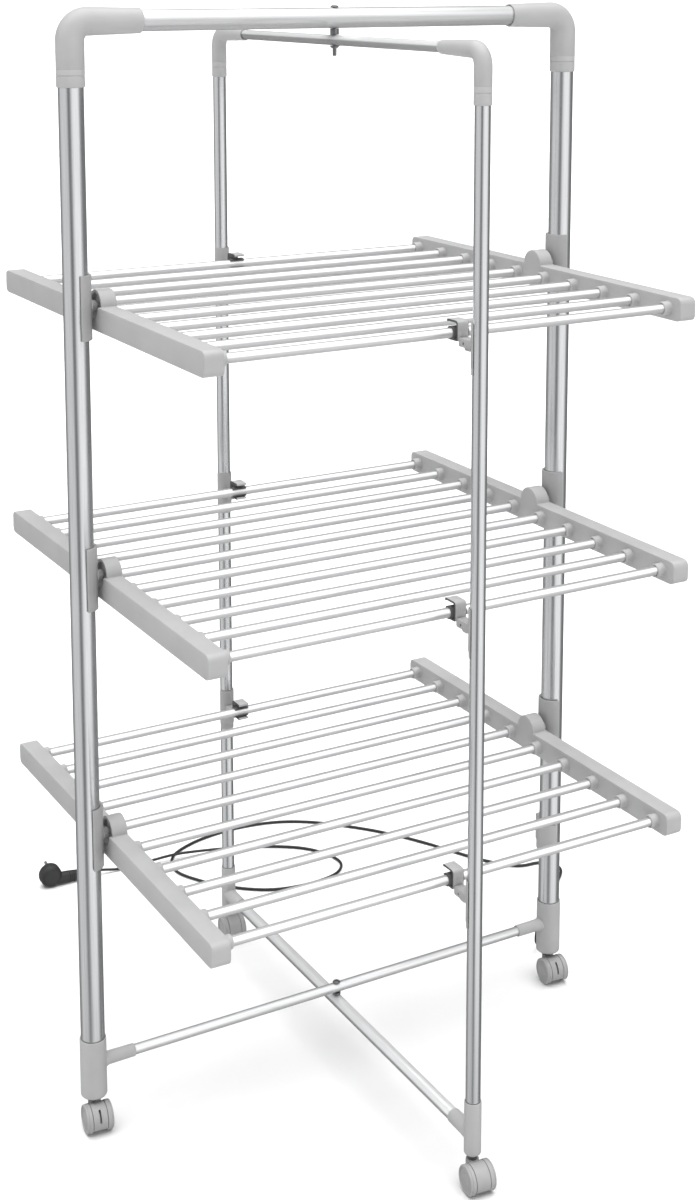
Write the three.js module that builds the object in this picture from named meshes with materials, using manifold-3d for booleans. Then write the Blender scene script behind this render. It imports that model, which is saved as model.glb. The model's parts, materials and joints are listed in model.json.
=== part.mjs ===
import * as THREE from 'three';
import { mergeVertices } from 'three/addons/utils/BufferGeometryUtils.js';
import Module from 'manifold-3d';

const wasm = await Module();
wasm.setup();

// Heated clothes airer: a wide frame and a narrow frame cross on the vertical axis x = y = 0.
// Millimetres, +Z up, floor at z = 0. The wide frame stands along X and the narrow one along Y.

// Fits
const SLIDE_FIT = 0.3;
const RUNNING_FIT = 0.5;
const TOUCH_GAP = 0.3;
const CUT_OVERRUN = 2;
const JOIN_OVERLAP = 1;

// Facets round a full turn
const TUBE_SIDES = 16;
const ROD_SIDES = 8;
const SMALL_SIDES = 8;
const WHEEL_SIDES = 20;
const CORD_SIDES = 8;
const BEND_STEPS = 4;
const CORNER_STEPS = 2;
const HUMP_STEPS = 10;

// Wide frame
const WIDE_POST_X = 349.2;
const WIDE_POST_RADIUS = 15;
const WIDE_POST_WALL = 1.5;
const WIDE_POST_BOTTOM = 55.6;
const WIDE_TOP_BAR_Z = 1380;
const WIDE_TOP_BAR_RADIUS = 12.75;
const WIDE_TOP_BAR_WALL = 1.5;
const WIDE_ELBOW_RADIUS = 16.75;
const WIDE_ELBOW_END_RADIUS = 15;
const WIDE_ELBOW_BEND = 21.5;
const WIDE_ELBOW_DROP = 75.4;
const WIDE_ELBOW_BOTTOM = WIDE_TOP_BAR_Z - WIDE_ELBOW_DROP;
const WIDE_ELBOW_REACH = 87.7;
const WIDE_ELBOW_INNER_X = WIDE_POST_X - WIDE_ELBOW_REACH;
const WIDE_LOW_BAR_Z = 83.6;
const WIDE_LOW_BAR_RADIUS = 6.5;
const WIDE_SLEEVE_RADIUS = 16.7;
const WIDE_SLEEVE_TOP = 118;
const WIDE_SOCKET_ROOT_RADIUS = 8.3;
const WIDE_SOCKET_END_RADIUS = 7.9;
const WIDE_SOCKET_REACH = 55.2;
const WIDE_SOCKET_END_X = WIDE_POST_X - WIDE_SOCKET_REACH;

// Narrow frame
const RAIL_HALF_LENGTH = 310.4;
const ROD_END_MARGIN = 23.3;
const ROD_Y_LAST = RAIL_HALF_LENGTH - ROD_END_MARGIN;
const CLIP_REACH = 46.4;
const NARROW_POST_Y = ROD_Y_LAST + CLIP_REACH;
const NARROW_POST_RADIUS = 9;
const NARROW_POST_WALL = 1.2;
const NARROW_POST_BOTTOM = 75.6;
const NARROW_TOP_BAR_RADIUS = 6.5;
const TOP_PIVOT_GAP = 8.35;
const TOP_PIVOT_DROP = WIDE_TOP_BAR_RADIUS + TOP_PIVOT_GAP + NARROW_TOP_BAR_RADIUS;
const NARROW_TOP_BAR_Z = WIDE_TOP_BAR_Z - TOP_PIVOT_DROP;
const NARROW_TOP_BAR_WALL = 1.2;
const NARROW_ELBOW_RADIUS = 10.3;
const NARROW_ELBOW_END_RADIUS = 8.2;
const NARROW_ELBOW_BEND = 18.5;
const NARROW_ELBOW_DROP = 60.8;
const NARROW_ELBOW_BOTTOM = NARROW_TOP_BAR_Z - NARROW_ELBOW_DROP;
const NARROW_ELBOW_REACH = 83.5;
const NARROW_ELBOW_INNER_Y = NARROW_POST_Y - NARROW_ELBOW_REACH;
const NARROW_LOW_BAR_RADIUS = 8;
const LOW_PIVOT_GAP = 3.9;
const LOW_PIVOT_DROP = WIDE_LOW_BAR_RADIUS + LOW_PIVOT_GAP + NARROW_LOW_BAR_RADIUS;
const NARROW_LOW_BAR_Z = WIDE_LOW_BAR_Z - LOW_PIVOT_DROP;
const NARROW_SLEEVE_RADIUS = 10.4;
const NARROW_SLEEVE_TOP = 108.8;
const NARROW_SOCKET_ROOT_RADIUS = 9.5;
const NARROW_SOCKET_END_RADIUS = 9.2;
const NARROW_SOCKET_REACH = 42;
const NARROW_SOCKET_END_Y = NARROW_POST_Y - NARROW_SOCKET_REACH;

// Both frames
const SLEEVE_BOTTOM = 40.6;
const SLEEVE_EDGE = 2;
const SOCKET_DEPTH = 26;
const ELBOW_POST_DEPTH = 34;
const ELBOW_BAR_DEPTH = 40;
const LOW_BAR_WALL = 1.2;

// Centre pivots
const BOLT_RADIUS = 2.5;
const BOLT_HEAD_RADIUS = 5.2;
const BOLT_HEAD_HEIGHT = 2.6;
const BOLT_TAIL = 13;
const SPACER_RADIUS = 5.5;
const NUT_RADIUS = 6.5;
const NUT_HEIGHT = 3;

// Shelves
const LOWEST_HINGE_Z = 384.8;
const HIGHEST_HINGE_DROP = 333.9;
const HIGHEST_HINGE_Z = WIDE_TOP_BAR_Z - HIGHEST_HINGE_DROP;
const MIDDLE_HINGE_Z = (LOWEST_HINGE_Z + HIGHEST_HINGE_Z) / 2;
const HINGE_HEIGHTS = [LOWEST_HINGE_Z, MIDDLE_HINGE_Z, HIGHEST_HINGE_Z];
const HINGE_HEIGHT_NAMES = ['lower', 'middle', 'upper'];
const RAIL_INSET = 44.8;
const RAIL_INNER_X = WIDE_POST_X - RAIL_INSET;
const RAIL_THICKNESS = 23.6;
const RAIL_HEIGHT = 29.3;
const RAIL_CORNER = 9;
const RAIL_WALL = 2.2;
const KNUCKLE_RADIUS = 19;
const KNUCKLE_RECESS_RADIUS = 15.5;
const KNUCKLE_RECESS_DEPTH = 9;
const KNUCKLE_BLOCK_HALF = 24;
const KNUCKLE_SETBACK = 3.5;
const CHANNEL_WIDTH = 5.4;
const ROD_COUNT = 10;
const ROD_PITCH = (2 * ROD_Y_LAST) / (ROD_COUNT - 1);
const ROD_RADIUS = 6;
const COLLAR_RADIUS = 8.5;
const COLLAR_LENGTH = 11;
const STRIP_THICKNESS = 3;
const STRIP_HEIGHT = 10;
const STRIP_OVERHANG = 4;

// Hinge brackets
const BRACKET_HEIGHT = 78;
const BRACKET_WALL = 3.5;
const BRACKET_BOSS_RADIUS = 6;
const BRACKET_BOSS_DEPTH = 5;
const HINGE_PIN_RADIUS = 3.5;
const HINGE_PIN_GRIP = 4;

// Clips
const CLIP_SADDLE_WALL = 1.5;
const CLIP_ABOVE = 3;
const CLIP_BELOW = 56;
const CLIP_ARM_DROP = 4;
const CLIP_ARM_WIDTH = 13;
const CLIP_ARM_HEIGHT = 10;
const CLIP_FOOT_WIDTH = 8;
const CLIP_FOOT_HEIGHT = 5;
const CLIP_FOOT_SETBACK = 10;
const HOOK_WIDTH = 15;
const HOOK_HALF_HEIGHT = 11.8;
const HOOK_RISE = 3;
const HOOK_WALL = 2.5;
const HOOK_ROOM = 2.4;
const HOOK_LIP = 11.5;
const HOOK_CORNER = 4;

// Castors
const WHEEL_RADIUS = 17.75;
const WHEEL_WIDTH = 7.6;
const WHEEL_DISH = 2;
const WHEEL_RIM = 3;
const AXLE_RADIUS = 3.2;
const HOOD_WIDTH = 18;
const HOOD_INSET = 0.6;
const HOOD_CLEARANCE = 8;
const HOOD_SLOT_WIDTH = 2.6;
const HOOD_SLOT_DEPTH = 4;
const HOOD_SLOT_TOP = 32.5;
const NECK_RADIUS = 8.2;
const NECK_BOTTOM = 22;
const NECK_TOP = 34;
const STEM_RADIUS = 4;
const STEM_GRIP = 8;
const WASHER_RADIUS = 5.3;
const CASTOR_TRAIL = 14;
const CASTOR_TURN = THREE.MathUtils.degToRad(-6);

// Cord outlet on the right post of the wide frame
const OUTLET_TOP = 237.6;
const OUTLET_HEIGHT = 40;
const OUTLET_BOTTOM = OUTLET_TOP - OUTLET_HEIGHT;
const OUTLET_WALL = 3.5;
const OUTLET_BOX_WIDTH = 18;
const OUTLET_BOX_DEPTH = 16;
const RELIEF_LENGTH = 24;
const RELIEF_TOP_RADIUS = 5.5;
const RELIEF_END_RADIUS = 3.6;
const OUTLET_OFFSET = 5.8;
const CORD_EXIT_X = WIDE_POST_X + OUTLET_OFFSET;
const CORD_EXIT_Y = 25;

// Cord, as points along its centre line from the strain relief to the plug
const CORD_RADIUS = 2.5;
const CORD_STEPS_PER_POINT = 2;
const CORD_POINTS = [
  [355, 25, 173.2],
  [355, 25.6, 147.6],
  [356, 29, 113],
  [358.5, 36, 77],
  [362.5, 46, 44],
  [369, 56.5, 20.5],
  [379.6, 66, 8.6],
  [395.9, 79.9, 3.5],
  [418.7, 104.7, 2.8],
  [461.3, 151.3, 2.6],
  [505.9, 197.9, 2.6],
  [530.7, 222, 2.6],
  [545.6, 236.6, 2.6],
  [553.1, 249.8, 2.6],
  [552.2, 265, 2.6],
  [542.8, 277.5, 2.6],
  [528.5, 282.7, 2.6],
  [506.9, 285.6, 2.6],
  [488.1, 296, 2.6],
  [472.2, 315.9, 2.6],
  [452.4, 345.6, 2.6],
  [406.8, 435.8, 2.6],
  [366.2, 500.3, 2.6],
  [326, 547.9, 2.6],
  [286.8, 586.5, 2.6],
  [240.2, 616.3, 2.6],
  [184.7, 632.1, 2.6],
  [123.3, 633.1, 2.6],
  [65.8, 620.2, 2.6],
  [24.1, 594.5, 2.6],
  [8.7, 549.8, 2.6],
  [28.1, 501.3, 2.6],
  [68.2, 451.3, 2.6],
  [118.3, 416, 2.6],
  [177.3, 404.8, 2.6],
  [229.3, 413, 2.6],
  [252.1, 436.8, 2.6],
  [251.2, 468.5, 2.6],
  [226.4, 512.2, 2.6],
  [176.8, 548.9, 2.7],
  [118.3, 574.1, 3],
  [71.7, 583.5, 6],
  [26.1, 588.9, 8.6],
  [-17.5, 593.4, 6],
  [-70.7, 598.4, 3.4],
  [-96.9, 601.5, 7.2],
  [-118.7, 602.8, 8.8],
  [-134.5, 603.7, 8.8],
];

// Plug
const PLUG_HEAD_RADIUS = 17.5;
const PLUG_HEAD_DEPTH = 21;
const PLUG_HEAD_CHAMFER = 3;
const PLUG_GRIP_LENGTH = 48;
const PLUG_GRIP_RADIUS = 10;
const PLUG_GRIP_END_RADIUS = 8.3;
const PLUG_PIN_RADIUS = 2.4;
const PLUG_PIN_LENGTH = 19;
const PLUG_PIN_SPREAD = 9.5;
const PLUG_HEADING_SHARES = [-0.998, 0.057];
const CORD_NAMES = ['power_cord', 'plug'];

// Materials
const finish = (color, roughness, metalness) =>
  new THREE.MeshStandardMaterial({ color, roughness, metalness });
const SATIN_TUBE = finish(0xb4b6b8, 0.32, 1);
const BRIGHT_ROD = finish(0xe4e5e6, 0.18, 1);
const PALE_PLASTIC = finish(0xb2b3b4, 0.5, 0);
const SHELF_PLASTIC = finish(0xbfc0c1, 0.5, 0);
const WHEEL_PLASTIC = finish(0xa4a5a6, 0.55, 0);
const DARK_STEEL = finish(0x55575a, 0.35, 1);
const BLACK_VINYL = finish(0x1d1d1e, 0.5, 0);

const toSolid = (geometry) => {
  const plain = geometry.index ? geometry.toNonIndexed() : geometry.clone();
  plain.deleteAttribute('normal');
  plain.deleteAttribute('uv');
  const merged = mergeVertices(plain);
  const vertProperties = new Float32Array(merged.attributes.position.array);
  const triVerts = new Uint32Array(merged.index.array);
  return new wasm.Manifold(new wasm.Mesh({ numProp: 3, vertProperties, triVerts }));
};

const toGeometry = (solid) => {
  const mesh = solid.getMesh();
  const geometry = new THREE.BufferGeometry();
  geometry.setAttribute('position', new THREE.BufferAttribute(mesh.vertProperties, 3));
  geometry.setIndex(new THREE.BufferAttribute(mesh.triVerts, 1));
  return geometry;
};

const joined = (first, ...others) => others.reduce((sum, next) => sum.add(next), first);
const cut = (body, ...tools) => tools.reduce((rest, tool) => rest.subtract(tool), body);

const airer = new THREE.Group();
airer.name = 'heated_clothes_airer';

const addPiece = (name, solid, material, place = new THREE.Matrix4()) => {
  const mesh = new THREE.Mesh(toGeometry(solid), material);
  mesh.name = name;
  mesh.applyMatrix4(place);
  airer.add(mesh);
};

// A cone or cylinder from one point to another
const barBetween = (from, to, startRadius, endRadius, sides) => {
  const start = new THREE.Vector3(...from);
  const end = new THREE.Vector3(...to);
  const along = end.clone().sub(start);
  const length = along.length();
  const geometry = new THREE.CylinderGeometry(endRadius, startRadius, length, sides);
  const up = new THREE.Vector3(0, 1, 0);
  geometry.applyQuaternion(new THREE.Quaternion().setFromUnitVectors(up, along.normalize()));
  const middle = start.add(end).multiplyScalar(0.5);
  geometry.translate(middle.x, middle.y, middle.z);
  return toSolid(geometry);
};

const cylinderBetween = (from, to, radius, sides) => barBetween(from, to, radius, radius, sides);

const hollowBetween = (from, to, radius, wall, sides) => {
  const along = new THREE.Vector3(...to).sub(new THREE.Vector3(...from)).setLength(CUT_OVERRUN);
  const before = new THREE.Vector3(...from).sub(along).toArray();
  const after = new THREE.Vector3(...to).add(along).toArray();
  const bore = cylinderBetween(before, after, radius - wall, sides);
  return cut(cylinderBetween(from, to, radius, sides), bore);
};

const boxBetween = (low, high) => {
  const size = high.map((value, i) => value - low[i]);
  const geometry = new THREE.BoxGeometry(...size);
  geometry.translate(...high.map((value, i) => (value + low[i]) / 2));
  return toSolid(geometry);
};

// A profile in the plane of Y and Z, given thickness along X from startX
const profileAlongX = (shape, startX, thickness, curveSegments) => {
  const settings = { depth: thickness, bevelEnabled: false, steps: 1, curveSegments };
  const geometry = new THREE.ExtrudeGeometry(shape, settings);
  const yAxis = new THREE.Vector3(0, 1, 0);
  const zAxis = new THREE.Vector3(0, 0, 1);
  const xAxis = new THREE.Vector3(1, 0, 0);
  geometry.applyMatrix4(new THREE.Matrix4().makeBasis(yAxis, zAxis, xAxis));
  geometry.translate(startX, 0, 0);
  return toSolid(geometry);
};

// A route through given points, with a ring of the swept section at each of them
class PointRoute extends THREE.Curve {
  constructor(points) {
    super();
    this.points = points;
  }

  getPoint(t, target = new THREE.Vector3()) {
    const last = this.points.length - 1;
    const place = THREE.MathUtils.clamp(t, 0, 1) * last;
    const index = Math.min(Math.floor(place), last - 1);
    return target.lerpVectors(this.points[index], this.points[index + 1], place - index);
  }

  getUtoTmapping(u) {
    return u;
  }
}

const sweep = (points, radius, sides) => {
  const section = new THREE.Shape();
  section.absarc(0, 0, radius, 0, 2 * Math.PI);
  const extrudePath = new PointRoute(points);
  const settings = { steps: points.length - 1, curveSegments: sides / 2, extrudePath };
  return toSolid(new THREE.ExtrudeGeometry(section, settings));
};

// Frame pieces are drawn in the plane of X and Z for the right side, and turned into place
const aboutZ = (angle) => new THREE.Matrix4().makeRotationZ(angle);
const SIDES_OF_WIDE = [['right', 0], ['left', Math.PI]];
const SIDES_OF_NARROW = [['rear', Math.PI / 2], ['front', -Math.PI / 2]];

const elbow = (size) => {
  const { postX, barZ, bend, radius, endRadius, bottom, innerX } = size;
  const bendTop = barZ - bend;
  const bendInner = postX - bend;
  const points = [new THREE.Vector3(postX, 0, bottom)];
  for (let i = 0; i <= BEND_STEPS; i += 1) {
    const angle = (i / BEND_STEPS) * (Math.PI / 2);
    const x = bendInner + bend * Math.cos(angle);
    points.push(new THREE.Vector3(x, 0, bendTop + bend * Math.sin(angle)));
  }
  points.push(new THREE.Vector3(bendInner - JOIN_OVERLAP, 0, barZ));
  const corner = sweep(points, radius, TUBE_SIDES);
  const leg = barBetween([bendInner, 0, barZ], [innerX, 0, barZ], radius, endRadius, TUBE_SIDES);
  const postBore = cylinderBetween(
    [postX, 0, bottom - CUT_OVERRUN],
    [postX, 0, bottom + ELBOW_POST_DEPTH + TOUCH_GAP],
    size.postRadius + SLIDE_FIT,
    TUBE_SIDES,
  );
  const barBore = cylinderBetween(
    [innerX - CUT_OVERRUN, 0, barZ],
    [innerX + ELBOW_BAR_DEPTH + TOUCH_GAP, 0, barZ],
    size.barRadius + SLIDE_FIT,
    TUBE_SIDES,
  );
  return cut(joined(corner, leg), postBore, barBore);
};

const footSleeve = (size) => {
  const { postX, radius, top, barZ, rootRadius, endRadius, endX } = size;
  const edgeTop = SLEEVE_BOTTOM + SLEEVE_EDGE;
  const barrel = cylinderBetween([postX, 0, edgeTop], [postX, 0, top], radius, TUBE_SIDES);
  const edge = barBetween(
    [postX, 0, SLEEVE_BOTTOM],
    [postX, 0, edgeTop + JOIN_OVERLAP],
    radius - SLEEVE_EDGE,
    radius,
    TUBE_SIDES,
  );
  const socket = barBetween([postX, 0, barZ], [endX, 0, barZ], rootRadius, endRadius, TUBE_SIDES);
  const postBore = cylinderBetween(
    [postX, 0, size.postBottom - TOUCH_GAP],
    [postX, 0, top + CUT_OVERRUN],
    size.postRadius + SLIDE_FIT,
    TUBE_SIDES,
  );
  const barBore = cylinderBetween(
    [endX - CUT_OVERRUN, 0, barZ],
    [endX + SOCKET_DEPTH + TOUCH_GAP, 0, barZ],
    size.barRadius + SLIDE_FIT,
    TUBE_SIDES,
  );
  const stemBore = cylinderBetween(
    [postX, 0, SLEEVE_BOTTOM - CUT_OVERRUN],
    [postX, 0, SLEEVE_BOTTOM + STEM_GRIP + TOUCH_GAP],
    STEM_RADIUS + RUNNING_FIT,
    SMALL_SIDES,
  );
  return cut(joined(barrel, edge, socket), postBore, barBore, stemBore);
};

const addFrame = (frame, sides, size) => {
  for (const [side, angle] of sides) {
    const place = aboutZ(angle);
    const postTop = size.elbow.bottom + ELBOW_POST_DEPTH;
    const post = hollowBetween(
      [size.elbow.postX, 0, size.sleeve.postBottom],
      [size.elbow.postX, 0, postTop],
      size.elbow.postRadius,
      size.postWall,
      TUBE_SIDES,
    );
    addPiece(`${frame}_post_${side}`, post, SATIN_TUBE, place);
    addPiece(`${frame}_elbow_${side}`, elbow(size.elbow), PALE_PLASTIC, place);
    addPiece(`${frame}_foot_sleeve_${side}`, footSleeve(size.sleeve), PALE_PLASTIC, place);
  }
  const [, angle] = sides[0];
  const topEnd = size.elbow.innerX + ELBOW_BAR_DEPTH;
  const topBar = hollowBetween(
    [-topEnd, 0, size.elbow.barZ],
    [topEnd, 0, size.elbow.barZ],
    size.elbow.barRadius,
    size.topBarWall,
    TUBE_SIDES,
  );
  const topHole = cylinderBetween(
    [0, 0, size.elbow.barZ - size.elbow.barRadius - CUT_OVERRUN],
    [0, 0, size.elbow.barZ + size.elbow.barRadius + CUT_OVERRUN],
    BOLT_RADIUS + SLIDE_FIT,
    SMALL_SIDES,
  );
  addPiece(`${frame}_top_bar`, cut(topBar, topHole), SATIN_TUBE, aboutZ(angle));
  const lowEnd = size.sleeve.endX + SOCKET_DEPTH;
  const lowBar = hollowBetween(
    [-lowEnd, 0, size.sleeve.barZ],
    [lowEnd, 0, size.sleeve.barZ],
    size.sleeve.barRadius,
    LOW_BAR_WALL,
    TUBE_SIDES,
  );
  const lowHole = cylinderBetween(
    [0, 0, size.sleeve.barZ - size.sleeve.barRadius - CUT_OVERRUN],
    [0, 0, size.sleeve.barZ + size.sleeve.barRadius + CUT_OVERRUN],
    BOLT_RADIUS + SLIDE_FIT,
    SMALL_SIDES,
  );
  addPiece(`${frame}_low_bar`, cut(lowBar, lowHole), SATIN_TUBE, aboutZ(angle));
};

const WIDE_SIZE = {
  postWall: WIDE_POST_WALL,
  topBarWall: WIDE_TOP_BAR_WALL,
  elbow: {
    postX: WIDE_POST_X,
    postRadius: WIDE_POST_RADIUS,
    barZ: WIDE_TOP_BAR_Z,
    barRadius: WIDE_TOP_BAR_RADIUS,
    bend: WIDE_ELBOW_BEND,
    radius: WIDE_ELBOW_RADIUS,
    endRadius: WIDE_ELBOW_END_RADIUS,
    bottom: WIDE_ELBOW_BOTTOM,
    innerX: WIDE_ELBOW_INNER_X,
  },
  sleeve: {
    postX: WIDE_POST_X,
    postRadius: WIDE_POST_RADIUS,
    postBottom: WIDE_POST_BOTTOM,
    radius: WIDE_SLEEVE_RADIUS,
    top: WIDE_SLEEVE_TOP,
    barZ: WIDE_LOW_BAR_Z,
    barRadius: WIDE_LOW_BAR_RADIUS,
    rootRadius: WIDE_SOCKET_ROOT_RADIUS,
    endRadius: WIDE_SOCKET_END_RADIUS,
    endX: WIDE_SOCKET_END_X,
  },
};

const NARROW_SIZE = {
  postWall: NARROW_POST_WALL,
  topBarWall: NARROW_TOP_BAR_WALL,
  elbow: {
    postX: NARROW_POST_Y,
    postRadius: NARROW_POST_RADIUS,
    barZ: NARROW_TOP_BAR_Z,
    barRadius: NARROW_TOP_BAR_RADIUS,
    bend: NARROW_ELBOW_BEND,
    radius: NARROW_ELBOW_RADIUS,
    endRadius: NARROW_ELBOW_END_RADIUS,
    bottom: NARROW_ELBOW_BOTTOM,
    innerX: NARROW_ELBOW_INNER_Y,
  },
  sleeve: {
    postX: NARROW_POST_Y,
    postRadius: NARROW_POST_RADIUS,
    postBottom: NARROW_POST_BOTTOM,
    radius: NARROW_SLEEVE_RADIUS,
    top: NARROW_SLEEVE_TOP,
    barZ: NARROW_LOW_BAR_Z,
    barRadius: NARROW_LOW_BAR_RADIUS,
    rootRadius: NARROW_SOCKET_ROOT_RADIUS,
    endRadius: NARROW_SOCKET_END_RADIUS,
    endX: NARROW_SOCKET_END_Y,
  },
};

const onAxis = (z) => [0, 0, z];

// Bolts, spacers and nut on the centre line
const addPivots = () => {
  const wideTop = WIDE_TOP_BAR_Z + WIDE_TOP_BAR_RADIUS;
  const wideBottom = WIDE_TOP_BAR_Z - WIDE_TOP_BAR_RADIUS;
  const narrowTop = NARROW_TOP_BAR_Z + NARROW_TOP_BAR_RADIUS;
  const narrowBottom = NARROW_TOP_BAR_Z - NARROW_TOP_BAR_RADIUS;
  const headBottom = wideTop + TOUCH_GAP;
  const headTop = headBottom + BOLT_HEAD_HEIGHT;
  const shank = cylinderBetween(
    onAxis(narrowBottom - BOLT_TAIL),
    onAxis(headBottom + JOIN_OVERLAP),
    BOLT_RADIUS,
    SMALL_SIDES,
  );
  const head = barBetween(
    onAxis(headBottom),
    onAxis(headTop),
    BOLT_HEAD_RADIUS,
    BOLT_HEAD_RADIUS / 2,
    SMALL_SIDES,
  );
  addPiece('top_pivot_bolt', joined(head, shank), DARK_STEEL);
  const boltHole = cylinderBetween(
    onAxis(narrowBottom - BOLT_TAIL),
    onAxis(headTop),
    BOLT_RADIUS + SLIDE_FIT,
    SMALL_SIDES,
  );
  const spacer = cylinderBetween(
    onAxis(narrowTop + TOUCH_GAP),
    onAxis(wideBottom - TOUCH_GAP),
    SPACER_RADIUS,
    SMALL_SIDES,
  );
  addPiece('top_pivot_spacer', cut(spacer, boltHole), DARK_STEEL);
  const nutTop = narrowBottom - TOUCH_GAP;
  const nut = cylinderBetween(
    onAxis(nutTop - NUT_HEIGHT),
    onAxis(nutTop),
    NUT_RADIUS,
    SMALL_SIDES,
  );
  addPiece('top_pivot_nut', cut(nut, boltHole), DARK_STEEL);

  const lowTop = WIDE_LOW_BAR_Z + WIDE_LOW_BAR_RADIUS;
  const lowHeadBottom = lowTop + TOUCH_GAP;
  const lowHead = barBetween(
    onAxis(lowHeadBottom),
    onAxis(lowHeadBottom + BOLT_HEAD_HEIGHT),
    BOLT_HEAD_RADIUS,
    BOLT_HEAD_RADIUS / 2,
    SMALL_SIDES,
  );
  const lowShank = cylinderBetween(
    onAxis(NARROW_LOW_BAR_Z - NARROW_LOW_BAR_RADIUS - BOLT_HEAD_HEIGHT),
    onAxis(lowHeadBottom + JOIN_OVERLAP),
    BOLT_RADIUS,
    SMALL_SIDES,
  );
  addPiece('low_pivot_bolt', joined(lowHead, lowShank), DARK_STEEL);
  const lowHole = cylinderBetween(
    onAxis(NARROW_LOW_BAR_Z),
    onAxis(WIDE_LOW_BAR_Z),
    BOLT_RADIUS + SLIDE_FIT,
    SMALL_SIDES,
  );
  const lowSpacer = cylinderBetween(
    onAxis(NARROW_LOW_BAR_Z + NARROW_LOW_BAR_RADIUS + TOUCH_GAP),
    onAxis(WIDE_LOW_BAR_Z - WIDE_LOW_BAR_RADIUS - TOUCH_GAP),
    SPACER_RADIUS,
    SMALL_SIDES,
  );
  addPiece('low_pivot_spacer', cut(lowSpacer, lowHole), DARK_STEEL);
};

// Shelf pieces are drawn about the hinge axis, which runs along X at the top of the rails
const RAIL_OUTER_X = RAIL_INNER_X + RAIL_THICKNESS;
const ROD_Z = -RAIL_HEIGHT / 2;
const STRIP_INNER_X = RAIL_INNER_X + RAIL_WALL + RUNNING_FIT;
const ROD_END_X = STRIP_INNER_X + STRIP_THICKNESS;
const rodY = (index) => (index - (ROD_COUNT - 1) / 2) * ROD_PITCH;

const railProfile = () => {
  const low = -RAIL_HEIGHT + RAIL_CORNER;
  const end = RAIL_HALF_LENGTH - RAIL_CORNER;
  const quarter = Math.PI / 2;
  const shape = new THREE.Shape();
  shape.moveTo(-end, -RAIL_HEIGHT);
  shape.lineTo(end, -RAIL_HEIGHT);
  shape.absarc(end, low, RAIL_CORNER, -quarter, 0);
  shape.absarc(end, -RAIL_CORNER, RAIL_CORNER, 0, quarter);
  shape.lineTo(KNUCKLE_RADIUS, 0);
  for (let i = 1; i < HUMP_STEPS; i += 1) {
    const angle = (i / HUMP_STEPS) * Math.PI;
    shape.lineTo(KNUCKLE_RADIUS * Math.cos(angle), KNUCKLE_RADIUS * Math.sin(angle));
  }
  shape.lineTo(-KNUCKLE_RADIUS, 0);
  shape.absarc(-end, -RAIL_CORNER, RAIL_CORNER, quarter, 2 * quarter);
  shape.absarc(-end, low, RAIL_CORNER, 2 * quarter, 3 * quarter);
  return shape;
};

const rail = () => {
  const cavityLow = -RAIL_HEIGHT + RAIL_WALL;
  const cavityEnd = RAIL_HALF_LENGTH - RAIL_WALL - RAIL_CORNER / 3;
  const cavityInner = RAIL_INNER_X + RAIL_WALL;
  const cavityOuter = RAIL_OUTER_X - RAIL_WALL;
  let body = profileAlongX(railProfile(), RAIL_INNER_X, RAIL_THICKNESS, CORNER_STEPS);
  for (let i = 0; i < ROD_COUNT; i += 1) {
    const collar = cylinderBetween(
      [RAIL_INNER_X - COLLAR_LENGTH, rodY(i), ROD_Z],
      [RAIL_INNER_X + JOIN_OVERLAP, rodY(i), ROD_Z],
      COLLAR_RADIUS,
      SMALL_SIDES,
    );
    body = joined(body, collar);
  }
  const channel = boxBetween(
    [cavityInner, -cavityEnd, cavityLow],
    [cavityInner + CHANNEL_WIDTH, cavityEnd, -RAIL_WALL],
  );
  body = cut(body, channel);
  for (const side of [-1, 1]) {
    const near = Math.min(side * KNUCKLE_BLOCK_HALF, side * cavityEnd);
    const far = Math.max(side * KNUCKLE_BLOCK_HALF, side * cavityEnd);
    body = cut(body, boxBetween([cavityInner, near, cavityLow], [cavityOuter, far, -RAIL_WALL]));
  }
  for (let i = 0; i < ROD_COUNT; i += 1) {
    const hole = cylinderBetween(
      [RAIL_INNER_X - COLLAR_LENGTH - CUT_OVERRUN, rodY(i), ROD_Z],
      [cavityInner + SLIDE_FIT, rodY(i), ROD_Z],
      ROD_RADIUS + SLIDE_FIT,
      ROD_SIDES,
    );
    body = cut(body, hole);
  }
  const recess = cylinderBetween(
    [RAIL_OUTER_X - KNUCKLE_RECESS_DEPTH, 0, 0],
    [RAIL_OUTER_X + CUT_OVERRUN, 0, 0],
    KNUCKLE_RECESS_RADIUS,
    TUBE_SIDES,
  );
  const pinHole = cylinderBetween(
    [RAIL_OUTER_X - KNUCKLE_RECESS_DEPTH - HINGE_PIN_GRIP - TOUCH_GAP, 0, 0],
    [RAIL_OUTER_X, 0, 0],
    HINGE_PIN_RADIUS + RUNNING_FIT,
    SMALL_SIDES,
  );
  const setback = boxBetween(
    [RAIL_OUTER_X - KNUCKLE_SETBACK, -KNUCKLE_BLOCK_HALF, 0],
    [RAIL_OUTER_X + CUT_OVERRUN, KNUCKLE_BLOCK_HALF, KNUCKLE_RADIUS + CUT_OVERRUN],
  );
  return cut(body, recess, pinHole, setback);
};

const rodBank = () => {
  let bank = null;
  for (const side of [-1, 1]) {
    const near = Math.min(side * STRIP_INNER_X, side * ROD_END_X);
    const far = Math.max(side * STRIP_INNER_X, side * ROD_END_X);
    const strip = boxBetween(
      [near, -ROD_Y_LAST - STRIP_OVERHANG, ROD_Z - STRIP_HEIGHT / 2],
      [far, ROD_Y_LAST + STRIP_OVERHANG, ROD_Z + STRIP_HEIGHT / 2],
    );
    bank = bank ? joined(bank, strip) : strip;
  }
  const rodEnd = ROD_END_X - STRIP_THICKNESS / 2;
  for (let i = 0; i < ROD_COUNT; i += 1) {
    const rod = cylinderBetween(
      [-rodEnd, rodY(i), ROD_Z],
      [rodEnd, rodY(i), ROD_Z],
      ROD_RADIUS,
      ROD_SIDES,
    );
    bank = joined(bank, rod);
  }
  return bank;
};

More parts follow.
